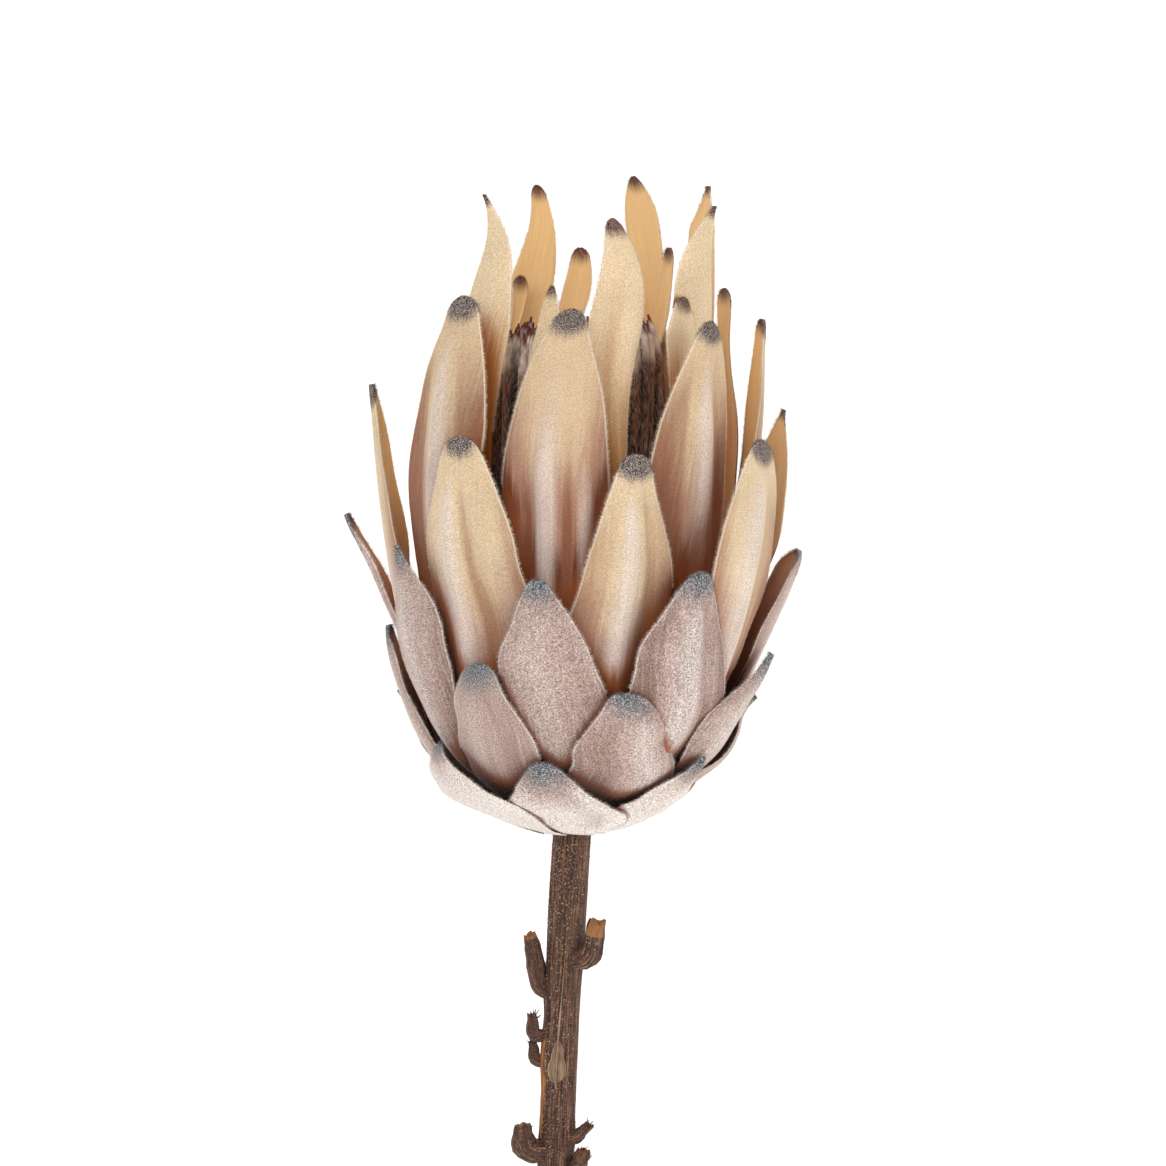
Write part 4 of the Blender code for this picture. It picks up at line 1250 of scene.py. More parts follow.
@dataclass(frozen=True)
class Fur:
    """How densely and how long the hairs of a bract grow."""

    margin_density: float = 15.0    # hairs to a millimetre of margin
    margin_length: float = 0.85
    rubbed: float = 0.5             # share of shelter above which a margin is bare
    face_density: float = 1.0       # hairs to a square millimetre
    face_length: float = 0.45
    cap_density: float = 7.0
    cap_length: float = 0.4
    girth: float = 0.035
    sunk: float = 0.05              # how deep a root sits in the face

    def margins(self, grid: BladeGrid, shelter: np.ndarray,
                chance: np.random.Generator) -> tuple[np.ndarray, np.ndarray, np.ndarray]:
        """Grow the fringe along both margins, but not where a neighbour has rubbed it off.

        Args:
            grid: the blade's surface.
            shelter: how closed in its outer face is.
            chance: the random source.

        Returns:
            Roots, sprouts and distances from the tip.
        """
        found = []
        for column, beside in ((0, 1), (-1, -2)):
            line = grid.middle[:, column]
            travel = path_lengths(line)
            count = int(travel[-1] * self.margin_density)
            spots = np.sort(chance.uniform(travel[-1] * 0.12, travel[-1], count))
            mark = np.interp(spots, travel, np.arange(len(travel)))
            low = np.minimum(mark.astype(int), len(line) - 2)
            share = (mark - low)[:, None]
            root = line[low] * (1 - share) + line[low + 1] * share
            out, ahead = unit(line[low] - grid.middle[low, beside]), unit(line[low + 1] - line[low])
            normal = grid.normals[low, column]
            way = (out + ahead * chance.uniform(0.0, 0.9, (count, 1))
                   + normal * chance.normal(0.0, 0.35, (count, 1)))
            span = self.margin_length * chance.uniform(0.5, 1.3, (count, 1))
            root = root + normal * chance.uniform(-0.12, 0.12, (count, 1)) - out * 0.08
            tip = grid.length - np.interp(mark, np.arange(len(grid.along)), grid.along)
            free = shelter[low, column] < self.rubbed
            found.append((root[free], (unit(way) * span)[free], tip[free]))
        return tuple(np.concatenate(parts) for parts in zip(*found))

    def face(self, grid: BladeGrid, chance: np.random.Generator, density: float, span: float,
             reach: float = math.inf) -> tuple[np.ndarray, np.ndarray]:
        """Grow hairs on the outer face of a blade.

        Args:
            grid: the blade's surface.
            chance: the random source.
            density: hairs to a square millimetre.
            span: their length.
            reach: how far from the tip they grow.

        Returns:
            Roots and sprouts.
        """
        corners = cell_corners(grid.middle)
        near, near_right, _, far = (corners[..., k, :] for k in range(4))
        grown = (grid.length - grid.along[1:] < reach) * (grid.along[1:] > 0.2 * grid.length)
        area = np.linalg.norm(np.cross(far - near, near_right - near), axis=-1) * grown[:, None]
        count = int(area.sum() * density)
        cell = np.searchsorted(np.cumsum(area.ravel()), chance.uniform(0.0, area.sum(), count))
        row, column = np.divmod(np.minimum(cell, area.size - 1), area.shape[1])
        a, b = chance.uniform(size=(count, 1)), chance.uniform(size=(count, 1))
        near, near_right, far_right, far = (corners[row, column, k] for k in range(4))
        root = (near * (1 - b) + near_right * b) * (1 - a) + (far * (1 - b) + far_right * b) * a
        normal = grid.normals[row, column]
        way = (normal * 0.7 + unit(far - near) * chance.uniform(0.3, 1.0, (count, 1))
               + chance.normal(0.0, 0.3, (count, 3)))
        half = 0.5 * Bract.thickness * (1.0 - Bract.edge_thinning * grid.across[column][:, None] ** 2)
        return root + normal * (half - self.sunk), unit(way) * span * chance.uniform(0.5, 1.2, (count, 1))


@dataclass(frozen=True)
class FlowerHead:
    """Every bract of the head, with its hairs."""

    skirt: VelvetNap
    grey: VelvetNap
    upper: VelvetNap
    tan: VelvetNap
    inner: VelvetNap
    grey_inner: LeatheryFace
    tan_inner: LeatheryFace
    fur: Fur = Fur()

    def build(self) -> None:
        """Build the bracts ring by ring, then the coats of hair."""
        grey, tan = (self.grey.build(), self.grey_inner.build()), (self.tan.build(), self.tan_inner.build())
        finishes = {SKIRT: (self.skirt.build(), grey[1]), LOWER: grey, MIDDLE: grey,
                    UPPER: (self.upper.build(), tan[1]), TALL: tan, INNER: (self.inner.build(), tan[1])}
        finishes[HEART] = finishes[INNER]
        coats = [HairCoat(name, slot, PlantHair(*hair)) for name, slot, hair in (
            ("grey_bract_fringe", GREY_VELVET, ("pale_mauve_hair", "#8E7F79", "#F1E6DF")),
            ("tan_bract_fringe", TAN_VELVET, ("pale_cream_hair", "#C9AE8C", "#FBF0DD")),
            ("grey_bract_tip_fur", GREY_VELVET, ("slate_tip_hair", "#4A4A4B", "#A5A6A4")),
            ("tan_bract_tip_fur", TAN_VELVET, ("brown_tip_hair", "#33282A", "#948681")))]
        bracts = [Bract(ring, number, blade) for ring, blades in BLADES.items()
                  for number, blade in enumerate(blades, start=1)]
        grids = tuple(bract.grid() for bract in bracts)
        crowd = Crowd(grids)
        tree = crowd.tree()
        for bract, grid in zip(bracts, grids):
            shelter = crowd.measure(tree, grid, 1.0), crowd.measure(tree, grid, -1.0)
            bract.build(grid, shelter, *finishes[bract.ring])
            self.grow_hairs(bract, grid, shelter[0], *(coat for coat in coats if coat.slot == bract.ring.slot))
        for coat in coats:
            coat.build()

    def grow_hairs(self, bract: Bract, grid: BladeGrid, shelter: np.ndarray, fringe: HairCoat,
                   cap: HairCoat) -> None:
        """Grow a bract's fringe, the dark fur of its tip and, on a grey one, the hairs of its face.

        Args:
            bract: the bract.
            grid: its surface.
            shelter: how closed in its outer face is.
            fringe: the coat that takes the pale hairs.
            cap: the coat that takes the tip's.
        """
        chance = np.random.default_rng(bract.seed + 2)
        grey = bract.ring.slot == GREY_VELVET
        nap = self.grey if grey else self.inner if bract.ring in (INNER, HEART) else self.tan
        roots, sprouts, tips = self.fur.margins(grid, shelter, chance)
        dark = tips < nap.cap_reach - 1.0
        for coat, chosen in ((fringe, ~dark), (cap, dark)):
            coat.grow(roots[chosen], sprouts[chosen], chance.uniform(0.3, 0.9, chosen.sum()), self.fur.girth)
        faces = [(cap, self.fur.cap_density, self.fur.cap_length, nap.cap_reach - 0.6)]
        if grey:
            faces.append((fringe, self.fur.face_density, self.fur.face_length, math.inf))
        for coat, density, span, reach in faces:
            roots, sprouts = self.fur.face(grid, chance, density, span, reach)
            coat.grow(roots, sprouts, chance.uniform(0.0, 0.9, len(roots)), self.fur.girth)


# ---------------------------------------------------------------- florets
@dataclass(frozen=True)
class FloretMass:
    """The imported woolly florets: slender felted tubes that stand on the dome and lean together at the top."""

    wool: FloretWool
    count: int = 330
    dome: tuple = ((0.0, 34.6), (6.0, 34.3), (12.0, 33.2), (17.0, 31.0), (19.3, 28.9))
    wall: tuple = ((20.8, 34.0), (20.8, 40.0), (22.0, 58.0), (22.4, 82.0), (22.0, 98.0), (21.6, 108.5),
                   (20.8, 114.5), (19.6, 118.0))
    foot_radius: float = 18.6
    top: float = 118.0
    rim_drop: float = 1.6           # how much lower the outermost florets end
    slope: float = 1.9              # how much higher they end on one side
    tube_radius: float = 1.05
    sides: int = 6
    rows: int = 22
    twist: float = 0.16             # turn from foot to top, in radians
    gather: float = 0.03            # how far the tops draw together, as a share of the radius
    bundles: int = 5                # groups that the tops draw together in
    bundling: float = 0.14          # how far a top turns towards its group, in radians
    bundle_drop: float = 1.6        # how much lower the tops between two groups end
    woolly_from: float = 0.62       # share of the radius outside which loose wool shows
    wool_girth: float = 0.075
    combed: float = 0.7             # how strongly the loose wool turns to the front
    seed: int = 77

    def paths(self) -> tuple[np.ndarray, np.ndarray]:
        """Find the florets' centre lines.

        Returns:
            (florets, rows, 3) points and (florets,) shares of the radius.
        """
        chance = np.random.default_rng(self.seed)
        order = np.arange(self.count) + 0.5
        share = np.sqrt(order / self.count)
        turn = order * GOLDEN_TURN
        floor = np.interp(share * self.foot_radius, *np.array(self.dome).T)
        bundle = 0.5 - 0.5 * np.cos(self.bundles * turn)
        top = self.top - self.rim_drop * share ** 2 - self.bundle_drop * bundle * share
        top = top + chance.normal(0.0, 0.9, self.count) + self.slope * share * np.sin(turn)
        step = np.linspace(0.0, 1.0, self.rows)[None, :]
        height = floor[:, None] + (top - floor)[:, None] * step
        radii, heights = np.array(self.wall).T
        outer = np.interp(height, heights, radii) - 1.0
        wobble = 0.35 * np.sin(step * 9.0 + chance.uniform(0.0, math.tau, (self.count, 1)))
        gather = step ** 5
        radius = share[:, None] * outer * (1.0 - self.gather * gather) + wobble * share[:, None]
        angle = turn[:, None] + self.twist * step + chance.normal(0.0, 0.12, (self.count, 1)) * step
        angle = angle - self.bundling * np.sin(self.bundles * turn)[:, None] * gather
        return around(radius, angle, height), share

    def build(self) -> None:
        """Build the tubes, the loose wool on them and the bare tufts at their ends."""
        chance = np.random.default_rng(self.seed + 1)
        centre, share = self.paths()
        count, rows = centre.shape[:2]
        along = unit(np.gradient(centre, axis=1))
        first = unit(np.cross(along, [[[0.0, 1.0, 0.0]]]))
        second = np.cross(along, first)
        length = np.stack([path_lengths(line) for line in centre])
        from_tip = length[:, -1:] - length
        tuft = 1.0 + 0.25 * np.exp(-((from_tip - 5.5) / 3.0) ** 2)
        girth = self.tube_radius * (0.55 + 0.45 * step_between(from_tip, 0.0, 14.0)) * tuft
        girth = girth * chance.uniform(0.85, 1.15, (count, 1)) * np.where(from_tip < 0.4, 0.35, 1.0)
        turns = np.arange(self.sides) * math.tau / self.sides
        ring = first[:, :, None] * np.cos(turns)[:, None] + second[:, :, None] * np.sin(turns)[:, None]
        points = centre[:, :, None] + ring * girth[:, :, None, None]
        index = np.arange(points.size // 3).reshape(count, rows, self.sides)
        mesh = make_mesh("floret_tubes", points.reshape(-1, 3), wall_faces(index), index[:, 0, ::-1],
                         index[:, -1])
        seed = np.arange(count)[:, None, None] * 3.7
        place = np.broadcast_arrays(turns * self.tube_radius, length[:, :, None], seed)
        set_attribute(mesh, PLACE, np.stack(place, axis=-1))
        edge = np.zeros((count, rows, self.sides, 3))
        edge[..., 0] = from_tip[:, :, None]
        set_attribute(mesh, EDGE, edge)
        u = (np.arange(count)[:, None, None] + np.arange(self.sides + 1) / (self.sides + 1)) / count
        v = 0.01 + 0.98 * (length / length[:, -1:])[:, :, None]
        flat = np.stack(np.broadcast_arrays(u, v), axis=-1)
        ends = (flat[:, 0, -2::-1], flat[:, -1, :-1])
        set_uv(mesh, np.concatenate([places.reshape(-1, 2) for places in (cell_corners(flat), *ends)]))
        add_piece("floret_tubes", mesh, [self.wool.build()], ("floret_mass",))

        tubes = tuple(values[share > self.woolly_from] for values in (centre, along, from_tip, girth))
        for tone, hair, hairs, reach, span in (
                ("brown", ("#5A3A2D", "#EBD6C8"), 30000, (5.0, 60.0), 3.0),
                ("grey", ("#93847A", "#EDE5DD"), 20000, (3.0, 9.5), 2.0)):
            coat = HairCoat(f"floret_{tone}_wool", FLORET_WOOL, PlantHair(f"{tone}_wool_hair", *hair))
            self.add_wool(coat, tubes, hairs, reach, span, chance)

    def add_wool(self, coat: HairCoat, tubes: tuple[np.ndarray, ...], count: int, reach: tuple[float, float],
                 span: float, chance: np.random.Generator) -> None:
        """Grow loose wool on the tubes between two distances from their ends.

        Args:
            coat: the coat that the hairs go into.
            tubes: the tubes' centre lines, directions, distances from their ends and radii.
            count: how many hairs.
            reach: nearest and furthest distance from an end.
            span: a hair's length.
            chance: the random source.
        """
        centre, along, from_tip, girth = tubes
        tube = chance.integers(0, len(centre), count)
        wanted = chance.uniform(*reach, count)
        row = np.array([np.argmin(np.abs(from_tip[t] - w)) for t, w in zip(tube, wanted)])
        row = np.clip(row, 1, centre.shape[1] - 1)
        slide = chance.uniform(0.0, 1.0, (count, 1))
        spot = centre[tube, row] * slide + centre[tube, row - 1] * (1 - slide)
        direction = along[tube, row]
        out = unit(np.cross(direction, chance.normal(size=(count, 3))))
        root = spot + out * girth[tube, row][:, None] * 0.9
        way = (direction * chance.uniform(0.8, 1.4, (count, 1)) + out * chance.uniform(0.1, 0.7, (count, 1))
               + chance.normal(0, 0.15, (count, 3)))
        # The wool is combed up and towards the front, from both sides.
        side = spot[:, :1] / np.maximum(np.linalg.norm(spot[:, :2], axis=1, keepdims=True), 1.0)
        way = way - side * np.array([[self.combed, 0.0, 0.0]])
        sprout = unit(way) * span * chance.uniform(0.6, 1.3, (count, 1))
        coat.grow(root, sprout, chance.beta(1.3, 1.3, count), self.wool_girth)
        coat.build()


# ---------------------------------------------------------------- stem
@dataclass(frozen=True)
class Stub:
    """What is left of a broken leaf stalk."""

    height: float                   # of its root, on the stem's axis
    azimuth: float
    root: tuple[float, float]       # thickness round the stem and along it
    tip: tuple[float, float]        # thickness at the broken end
    reach: float                    # how far the broken end stands from the stem's axis
    rise: float                     # how far it stands above the root
    splinters: int = 0              # torn fibres at the broken end
    swell: float = 0.8              # how much thicker it is half-way, in millimetres
    lean: float = 0.6               # where it turns up, as a share of its reach
    bared: int = 0                  # rows below the broken end that have lost their bark in front


@dataclass(frozen=True)
class Stem:
    """The woody stem with the receptacle, the broken leaf stalks, the leaf scar and the peeled strip."""

    bark: DryBark
    wood: BareWood
    lenticel: BareWood
    scar: BareWood
    radius: float = 4.5
    length: float = 132.0
    lean: float = -6.2
    end_slant: float = 3.0
    sides: int = 56
    ridge: float = 0.16             # height of the bark's lengthwise ridges
    narrowing: float = 0.12         # how much thinner the stem is below its first leaf stalks
    pimples: int = 760
    patch_sunk: float = 0.3         # how far the back of a patch lies under the bark
    seed: int = 300                 # of the leaf stalks; each adds its own number
    pimple_seed: int = 41
    receptacle: tuple = ((5.2, 0.4), (7.4, 1.3), (11.3, 4.3), (14.7, 7.8), (17.6, 11.6), (19.9, 15.7),
                         (20.6, 20.3), (20.2, 25.5), (19.3, 28.3), (17.0, 30.4), (12.0, 32.6), (6.0, 33.7),
                         (0.6, 34.0))
    stubs: tuple = (
        Stub(-28.6, 54, (5.4, 6.6), (3.9, 3.4), 9.4, 9.0, swell=1.1, lean=0.74, bared=4),
        Stub(-36.6, -84, (2.8, 4.2), (3.0, 2.9), 7.7, 13.4, swell=1.3, lean=0.66, bared=1),
        Stub(-46.4, -76, (3.0, 3.6), (2.2, 2.0), 7.0, 5.0, 6, 0.9, 0.9),
        Stub(-52.3, -86, (2.6, 3.0), (1.9, 1.8), 6.3, 4.4, 5, 0.8, 0.9),
        Stub(-72.4, -74, (5.4, 6.6), (4.2, 3.6), 8.0, 5.6, 3, 1.6, 0.9),
        Stub(-70.0, 70, (3.6, 4.0), (2.8, 2.2), 8.0, 3.2, 7, 0.4),
        Stub(-79.0, 62, (4.0, 6.0), (3.2, 2.8), 7.6, 6.4, 4, 0.8),
        Stub(-98.0, 24, (4.8, 7.0), (3.4, 3.0), 7.6, 5.0, 3),
        Stub(-109.0, -100, (4.4, 6.0), (3.2, 2.6), 7.6, 4.4, 3),
    )
    # The leaf scar: heights and half-widths of its shield, and heights, half-widths and shifts of its line.
    shield: tuple = ((-47.4, 0.35), (-48.2, 0.8), (-49.4, 1.3), (-50.6, 1.45), (-51.6, 1.7), (-52.8, 2.15),
                     (-54.2, 2.35), (-55.4, 2.2), (-56.4, 1.6), (-57.0, 0.8))
    slit: tuple = ((-23.0, 0.05, 0.9), (-28.0, 0.07, 0.75), (-33.0, 0.09, 0.6), (-38.0, 0.14, 0.4),
                   (-42.0, 0.22, 0.2), (-45.5, 0.26, 0.05), (-48.0, 0.14, 0.0), (-52.0, 0.17, 0.0),
                   (-56.0, 0.14, -0.05), (-58.6, 0.06, -0.1))

    def centre(self, height: float) -> float:
        """Where the stem's axis passes, sideways, at some height."""
        return self.lean * min(max(-height / self.length, 0.0), 1.0) ** 0.85

    def build(self) -> None:
        """Build every piece of the stem."""
        bark, wood = self.bark.build(), self.wood.build()
        self.build_bark(bark, wood)
        for number, stub in enumerate(self.stubs, start=1):
            self.build_stub(number, stub, bark, wood)
        self.build_lenticels()
        self.build_scar()
        self.build_strip(wood)

    def surface_radius(self, turn: float, height: float) -> float:
        """Find the bark's radius: ridges run along it, and it swells a little at the stalks' roots.

        Args:
            turn: the azimuth, in radians.
            height: the height.

        Returns:
            Millimetres from the stem's own axis.
        """
        across, along = math.sin(turn), math.cos(turn)
        ripple = noise.noise(Vector((across * 2.6, along * 2.6, height * 0.035)))
        fine = noise.noise(Vector((across * 8.0, along * 8.0, height * 0.09 + 9.0)))
        swell = sum(0.5 * math.exp(-((height - stub.height) / 4.0) ** 2
                                   - (math.remainder(turn - math.radians(stub.azimuth), math.tau) / 0.6) ** 2)
                    for stub in self.stubs)
        waist = step_between(-height, 8.0, 48.0) - step_between(-height, 92.0, 128.0)
        slim = self.radius * 0.985 * (1.0 - self.narrowing * waist)
        return slim + self.ridge * (1.6 * ripple + 0.7 * fine) + swell

    def on_bark(self, turn: float, height: float, out: float = 0.0) -> list[float]:
        """A point on the bark, or a little out from it."""
        radius = self.surface_radius(turn, height) + out
        return [self.centre(height) + radius * math.sin(turn), -radius * math.cos(turn), height]

    def build_bark(self, bark: bpy.types.Material, wood: bpy.types.Material) -> None:
        """Build the stem and the receptacle as one closed piece, with bare wood on the sawn end.

        Args:
            bark: the bark's material.
            wood: the sawn end's material.
        """
        turns = [math.tau * k / self.sides for k in range(self.sides)]
        heights = np.concatenate([np.linspace(-self.length, -1.5, 118), [-0.6]])
        points, places = [], []
        for height in heights:
            points += [self.on_bark(turn, height) for turn in turns]
            places += [(turn * self.radius, height, self.radius) for turn in turns]
        for k, turn in enumerate(turns):
            points[k][2] += 0.5 * self.end_slant * math.sin(turn)
        for radius, height in self.receptacle:
            points += [[radius * math.sin(turn), -radius * math.cos(turn), height] for turn in turns]
            places += [(turn * self.radius, height, radius) for turn in turns]
        rows = len(heights) + len(self.receptacle)
        for share in (0.72, 0.4):  # the sawn face
            for turn in turns:
                lift = 0.5 * self.end_slant * math.sin(turn) * share + 0.25 * (1 - share)
                across = share * self.surface_radius(turn, -self.length)
                points.append([self.centre(-self.length) + across * math.sin(turn), -across * math.cos(turn),
                               lift - self.length])
                places.append((turn * 0.6, share * 3.0, share * self.radius))
        index = np.arange(len(points)).reshape(-1, self.sides)
        walls, rings = wall_faces(index[:rows]), np.concatenate([index[:1], index[rows:]])
        sawn = wall_faces(rings)[:, [0, 3, 2, 1]]
        mesh = make_mesh("stem_bark", np.array(points), walls, sawn, index[rows - 1:rows], rings[-1:, ::-1])
        set_attribute(mesh, BARK, np.array(places))
        dress_faces(mesh, [*range(len(walls), len(walls) + len(sawn)), -1])
        add_piece("stem_bark", mesh, [bark, wood], ("stem",))

    def build_stub(self, number: int, stub: Stub, bark: bpy.types.Material, wood: bpy.types.Material) -> None:
        """Build a broken leaf stalk: it leaves the stem outwards, turns up and ends torn.

        Args:
            number: the stalk's number.
            stub: its sizes.
            bark: the bark's material.
            wood: the broken end's material.
        """
        chance = np.random.default_rng(self.seed + number)
        rows, sides = 16, 18
        tall = 0.72 * stub.root[1]      # the root, measured square to the stalk
        outward, sideways = directions(math.radians(stub.azimuth))
        axis = np.array([self.centre(stub.height), 0.0, stub.height])
        # It starts inside the stem, runs out, turns up and ends.
        path = tuple(axis + outward * reach + [0, 0, rise] for reach, rise in (
            (2.2, -0.075 * stub.root[1]), (stub.reach * stub.lean, 0.08 * stub.rise),
            (stub.reach * 0.5 * (1.0 + stub.lean), 0.5 * stub.rise), (stub.reach, stub.rise)))
        line = smooth_curve(path, np.linspace(0, 1, rows))[0]
        along = unit(np.gradient(line, axis=0))
        across = unit(np.cross(along, sideways))
        points, places = [], []
        angles = np.arange(sides) * math.tau / sides
        jag = chance.normal(0.0, 0.28, sides)
        for row in range(rows):
            share = row / (rows - 1)
            wide = 0.5 * (stub.root[0] + (stub.tip[0] - stub.root[0]) * share)
            wide = wide * (1 + 0.10 * math.sin(share * 7 + number))
            deep = 0.5 * (tall + (stub.tip[1] - tall) * share ** 0.7)
            wide, deep = (size + 0.5 * stub.swell * math.sin(math.pi * share) for size in (wide, deep))
            for k, angle in enumerate(angles):
                x, y = math.cos(angle), math.sin(angle)
                rough = (1.0 + 0.24 * noise.noise(Vector((x * 1.7 + number * 5, y * 1.7, share * 4.0)))
                         + 0.10 * noise.noise(Vector((x * 4.0 + number * 9, y * 4.0, share * 9.0))))
                point = line[row] + (sideways * wide * x + across[row] * deep * y) * rough
                points.append(point + along[row] * jag[k] if row == rows - 1 else point)
                places.append((angle * 2.0, share * 8.0 + number * 11, number * 3.0))
        rim = points[-sides:]
        for inset, sink in ((0.8, 0.25), (0.45, 0.5)):
            for angle, edge in zip(angles, rim):
                down = along[-1] * sink * chance.uniform(0.3, 1.0)
                points.append(line[-1] + (edge - line[-1]) * inset - down)
                places.append((angle * 2.0 * inset, inset * 2.0 + number, number * 3.0))
        index = np.arange(len(points)).reshape(-1, sides)
        name = f"leaf_stalk_{number}"
        mesh = make_mesh(name, np.array(points), wall_faces(index), index[:1, ::-1], index[-1:])
        set_attribute(mesh, BARK, np.array(places))
        bared = [row * sides + k for row in range(rows - 1 - stub.bared, rows - 1)
                 for k, angle in enumerate(angles)
                 if sideways[1] * math.cos(angle) + across[row][1] * math.sin(angle) < -0.25]
        dress_faces(mesh, [*range((rows - 1) * sides, (len(index) - 1) * sides), *bared, -1])
        add_piece(name, mesh, [bark, wood])
        if stub.splinters:
            self.build_splinters(f"{name}_splinters", stub, line[-3], along[-1], sideways, bark, chance)

    @staticmethod
    def build_splinters(name: str, stub: Stub, end: np.ndarray, along: np.ndarray, sideways: np.ndarray,
                        bark: bpy.types.Material, chance: np.random.Generator) -> None:
        """Build the torn fibres that stand at a stalk's broken end.

        Args:
            name: the piece's name.
            stub: the stalk's sizes.
            end: where the fibres start.
            along: the stalk's direction there.
            sideways: the direction round the stem.
            bark: the fibres' material.
            chance: the random source.
        """
        points = []
        for _ in range(stub.splinters):
            root = end + chance.normal(0, 0.35, 3) * stub.tip[0] * 0.5
            way = unit(along + chance.normal(0, 0.45, 3))
            flat = unit(np.cross(way, sideways + chance.normal(0, 0.3, 3)))
            edge = np.cross(way, flat)
            length, wide, thick = chance.uniform(1.6, 3.0), chance.uniform(0.4, 0.8), chance.uniform(0.12, 0.25)
            for share, scale in ((0.0, 1.0), (0.5, 0.9), (0.85, 0.55), (1.0, 0.12)):
                middle = root + way * length * share + flat * 0.3 * share ** 2
                for a, b in ((1, 0), (0, 1), (-1, 0), (0, -1)):
                    points.append(middle + edge * wide * scale * a + flat * thick * scale * b)
        spots = np.array(points)
        index = np.arange(len(spots)).reshape(-1, 4, 4)
        faces = [np.concatenate([wall_faces(fibre), fibre[:1, ::-1], fibre[-1:]]) for fibre in index]
        mesh = make_mesh(name, spots, np.concatenate(faces))
        set_attribute(mesh, BARK, spots[:, [0, 2, 1]])
        add_piece(name, mesh, [bark])

    def build_lenticels(self) -> None:
        """Build the pale pimples that breathe through the bark, thickest high up on one side."""
        chance = np.random.default_rng(self.pimple_seed)
        dome, sides = ((1.0, -0.2), (0.92, 0.35), (0.55, 0.8)), 7
        angles = [math.tau * k / sides for k in range(sides)]
        points, places = [], []
        for _ in range(self.pimples):
            height = -2.0 - 72.0 * chance.uniform() ** 1.4
            turn = chance.normal(-0.35, 0.5) if chance.uniform() < 0.6 else chance.uniform(0.0, math.tau)
            size = chance.uniform(0.08, 0.18)
            middle = np.array(self.on_bark(turn, height))
            out, side = directions(turn)
            ring = [side * math.cos(angle) + np.array([0, 0, 1.15]) * math.sin(angle) for angle in angles]
            points += [middle + way * size * scale + out * size * rise for scale, rise in dome for way in ring]
            points.append(middle + out * size * 0.95)
            places += [(turn * self.radius + size, height, self.radius)] * (len(dome) * sides + 1)
        index = np.arange(len(points)).reshape(self.pimples, -1)
        rings, top = index[:, :-1].reshape(self.pimples, len(dome), sides), index[:, -1:]
        last = rings[:, -1]
        tops = np.stack([last, np.roll(last, -1, axis=1), np.broadcast_to(top, last.shape)], axis=-1)
        mesh = make_mesh("stem_lenticels", np.array(points), wall_faces(rings), tops.reshape(-1, 3))
        set_attribute(mesh, BARK, np.array(places))
        add_piece("stem_lenticels", mesh, [self.lenticel.build()])

    def patch(self, name: str, outline: list, turn: float, material: bpy.types.Material, bulge: float,
              columns: int) -> None:
        """Lay a thin closed patch on the bark.

        Args:
            name: the piece's name.
            outline: (height, half-width, sideways shift) rows, from the top down, in millimetres.
            turn: the azimuth of its middle, in radians.
            material: its finish.
            bulge: how far its middle stands out.
            columns: how many cells across.
        """
        last = len(outline) - 1
        points, places = [], []
        for outside in (True, False):
            for row, (height, half, shift) in enumerate(outline):
                end = math.sin(math.pi * row / last) ** 0.5 if 0 < row < last else 0.0
                for k in range(columns + 1):
                    across = 2.0 * k / columns - 1.0
                    crown = bulge * (0.25 + 0.75 * (1 - across ** 2)) * (0.3 + 0.7 * end)
                    angle = turn + (shift + across * half) / self.radius
                    points.append(self.on_bark(angle, height, crown if outside else -self.patch_sunk))
                    places.append((across * half + turn * self.radius, height, self.radius))
        over, under = np.arange(len(points)).reshape(2, last + 1, columns + 1)
        rims = [(over[:, 0], under[:, 0]), (over[::-1, -1], under[::-1, -1]), (over[0, ::-1], under[0, ::-1]),
                (over[-1], under[-1])]
        walls = [np.stack([a[:-1], b[:-1], b[1:], a[1:]], axis=-1) for a, b in rims]
        mesh = make_mesh(name, np.array(points), sheet_faces(over)[:, ::-1], sheet_faces(under), *walls)
        set_attribute(mesh, BARK, np.array(places))
        add_piece(name, mesh, [material])

    def build_scar(self) -> None:
        """Build the shield-shaped leaf scar, with the slit that runs up from it and its pale middle line."""
        scar, pale = self.scar.build(), self.lenticel.build()
        turn = math.radians(-9)
        shield = [(height, half, 0.12 * math.sin(1.9 * height)) for height, half in self.shield]
        self.patch("leaf_scar", shield, turn, scar, 0.45, 14)
        for label, side in (("left", -1), ("right", 1)):
            rim = [(height, 0.12, side * (half - 0.1) + shift) for height, half, shift in shield]
            self.patch(f"leaf_scar_rim_{label}", rim, turn, pale, 0.55, 2)
        self.patch("leaf_scar_line", self.slit, turn, pale, 0.8, 4)

    def build_strip(self, wood: bpy.types.Material) -> None:
        """Build the strip where the bark has peeled off along one side, in bare wood."""
        heights = np.linspace(-47.0, -70.0, 18)
        halves = 1.1 + 0.25 * np.sin(heights * 1.3) + 0.2 * np.sin(heights * 3.1)
        strip = list(zip(heights, halves, 0.3 * np.sin(heights * 0.4)))
        self.patch("peeled_strip", strip, math.radians(-68), wood, 0.45, 8)


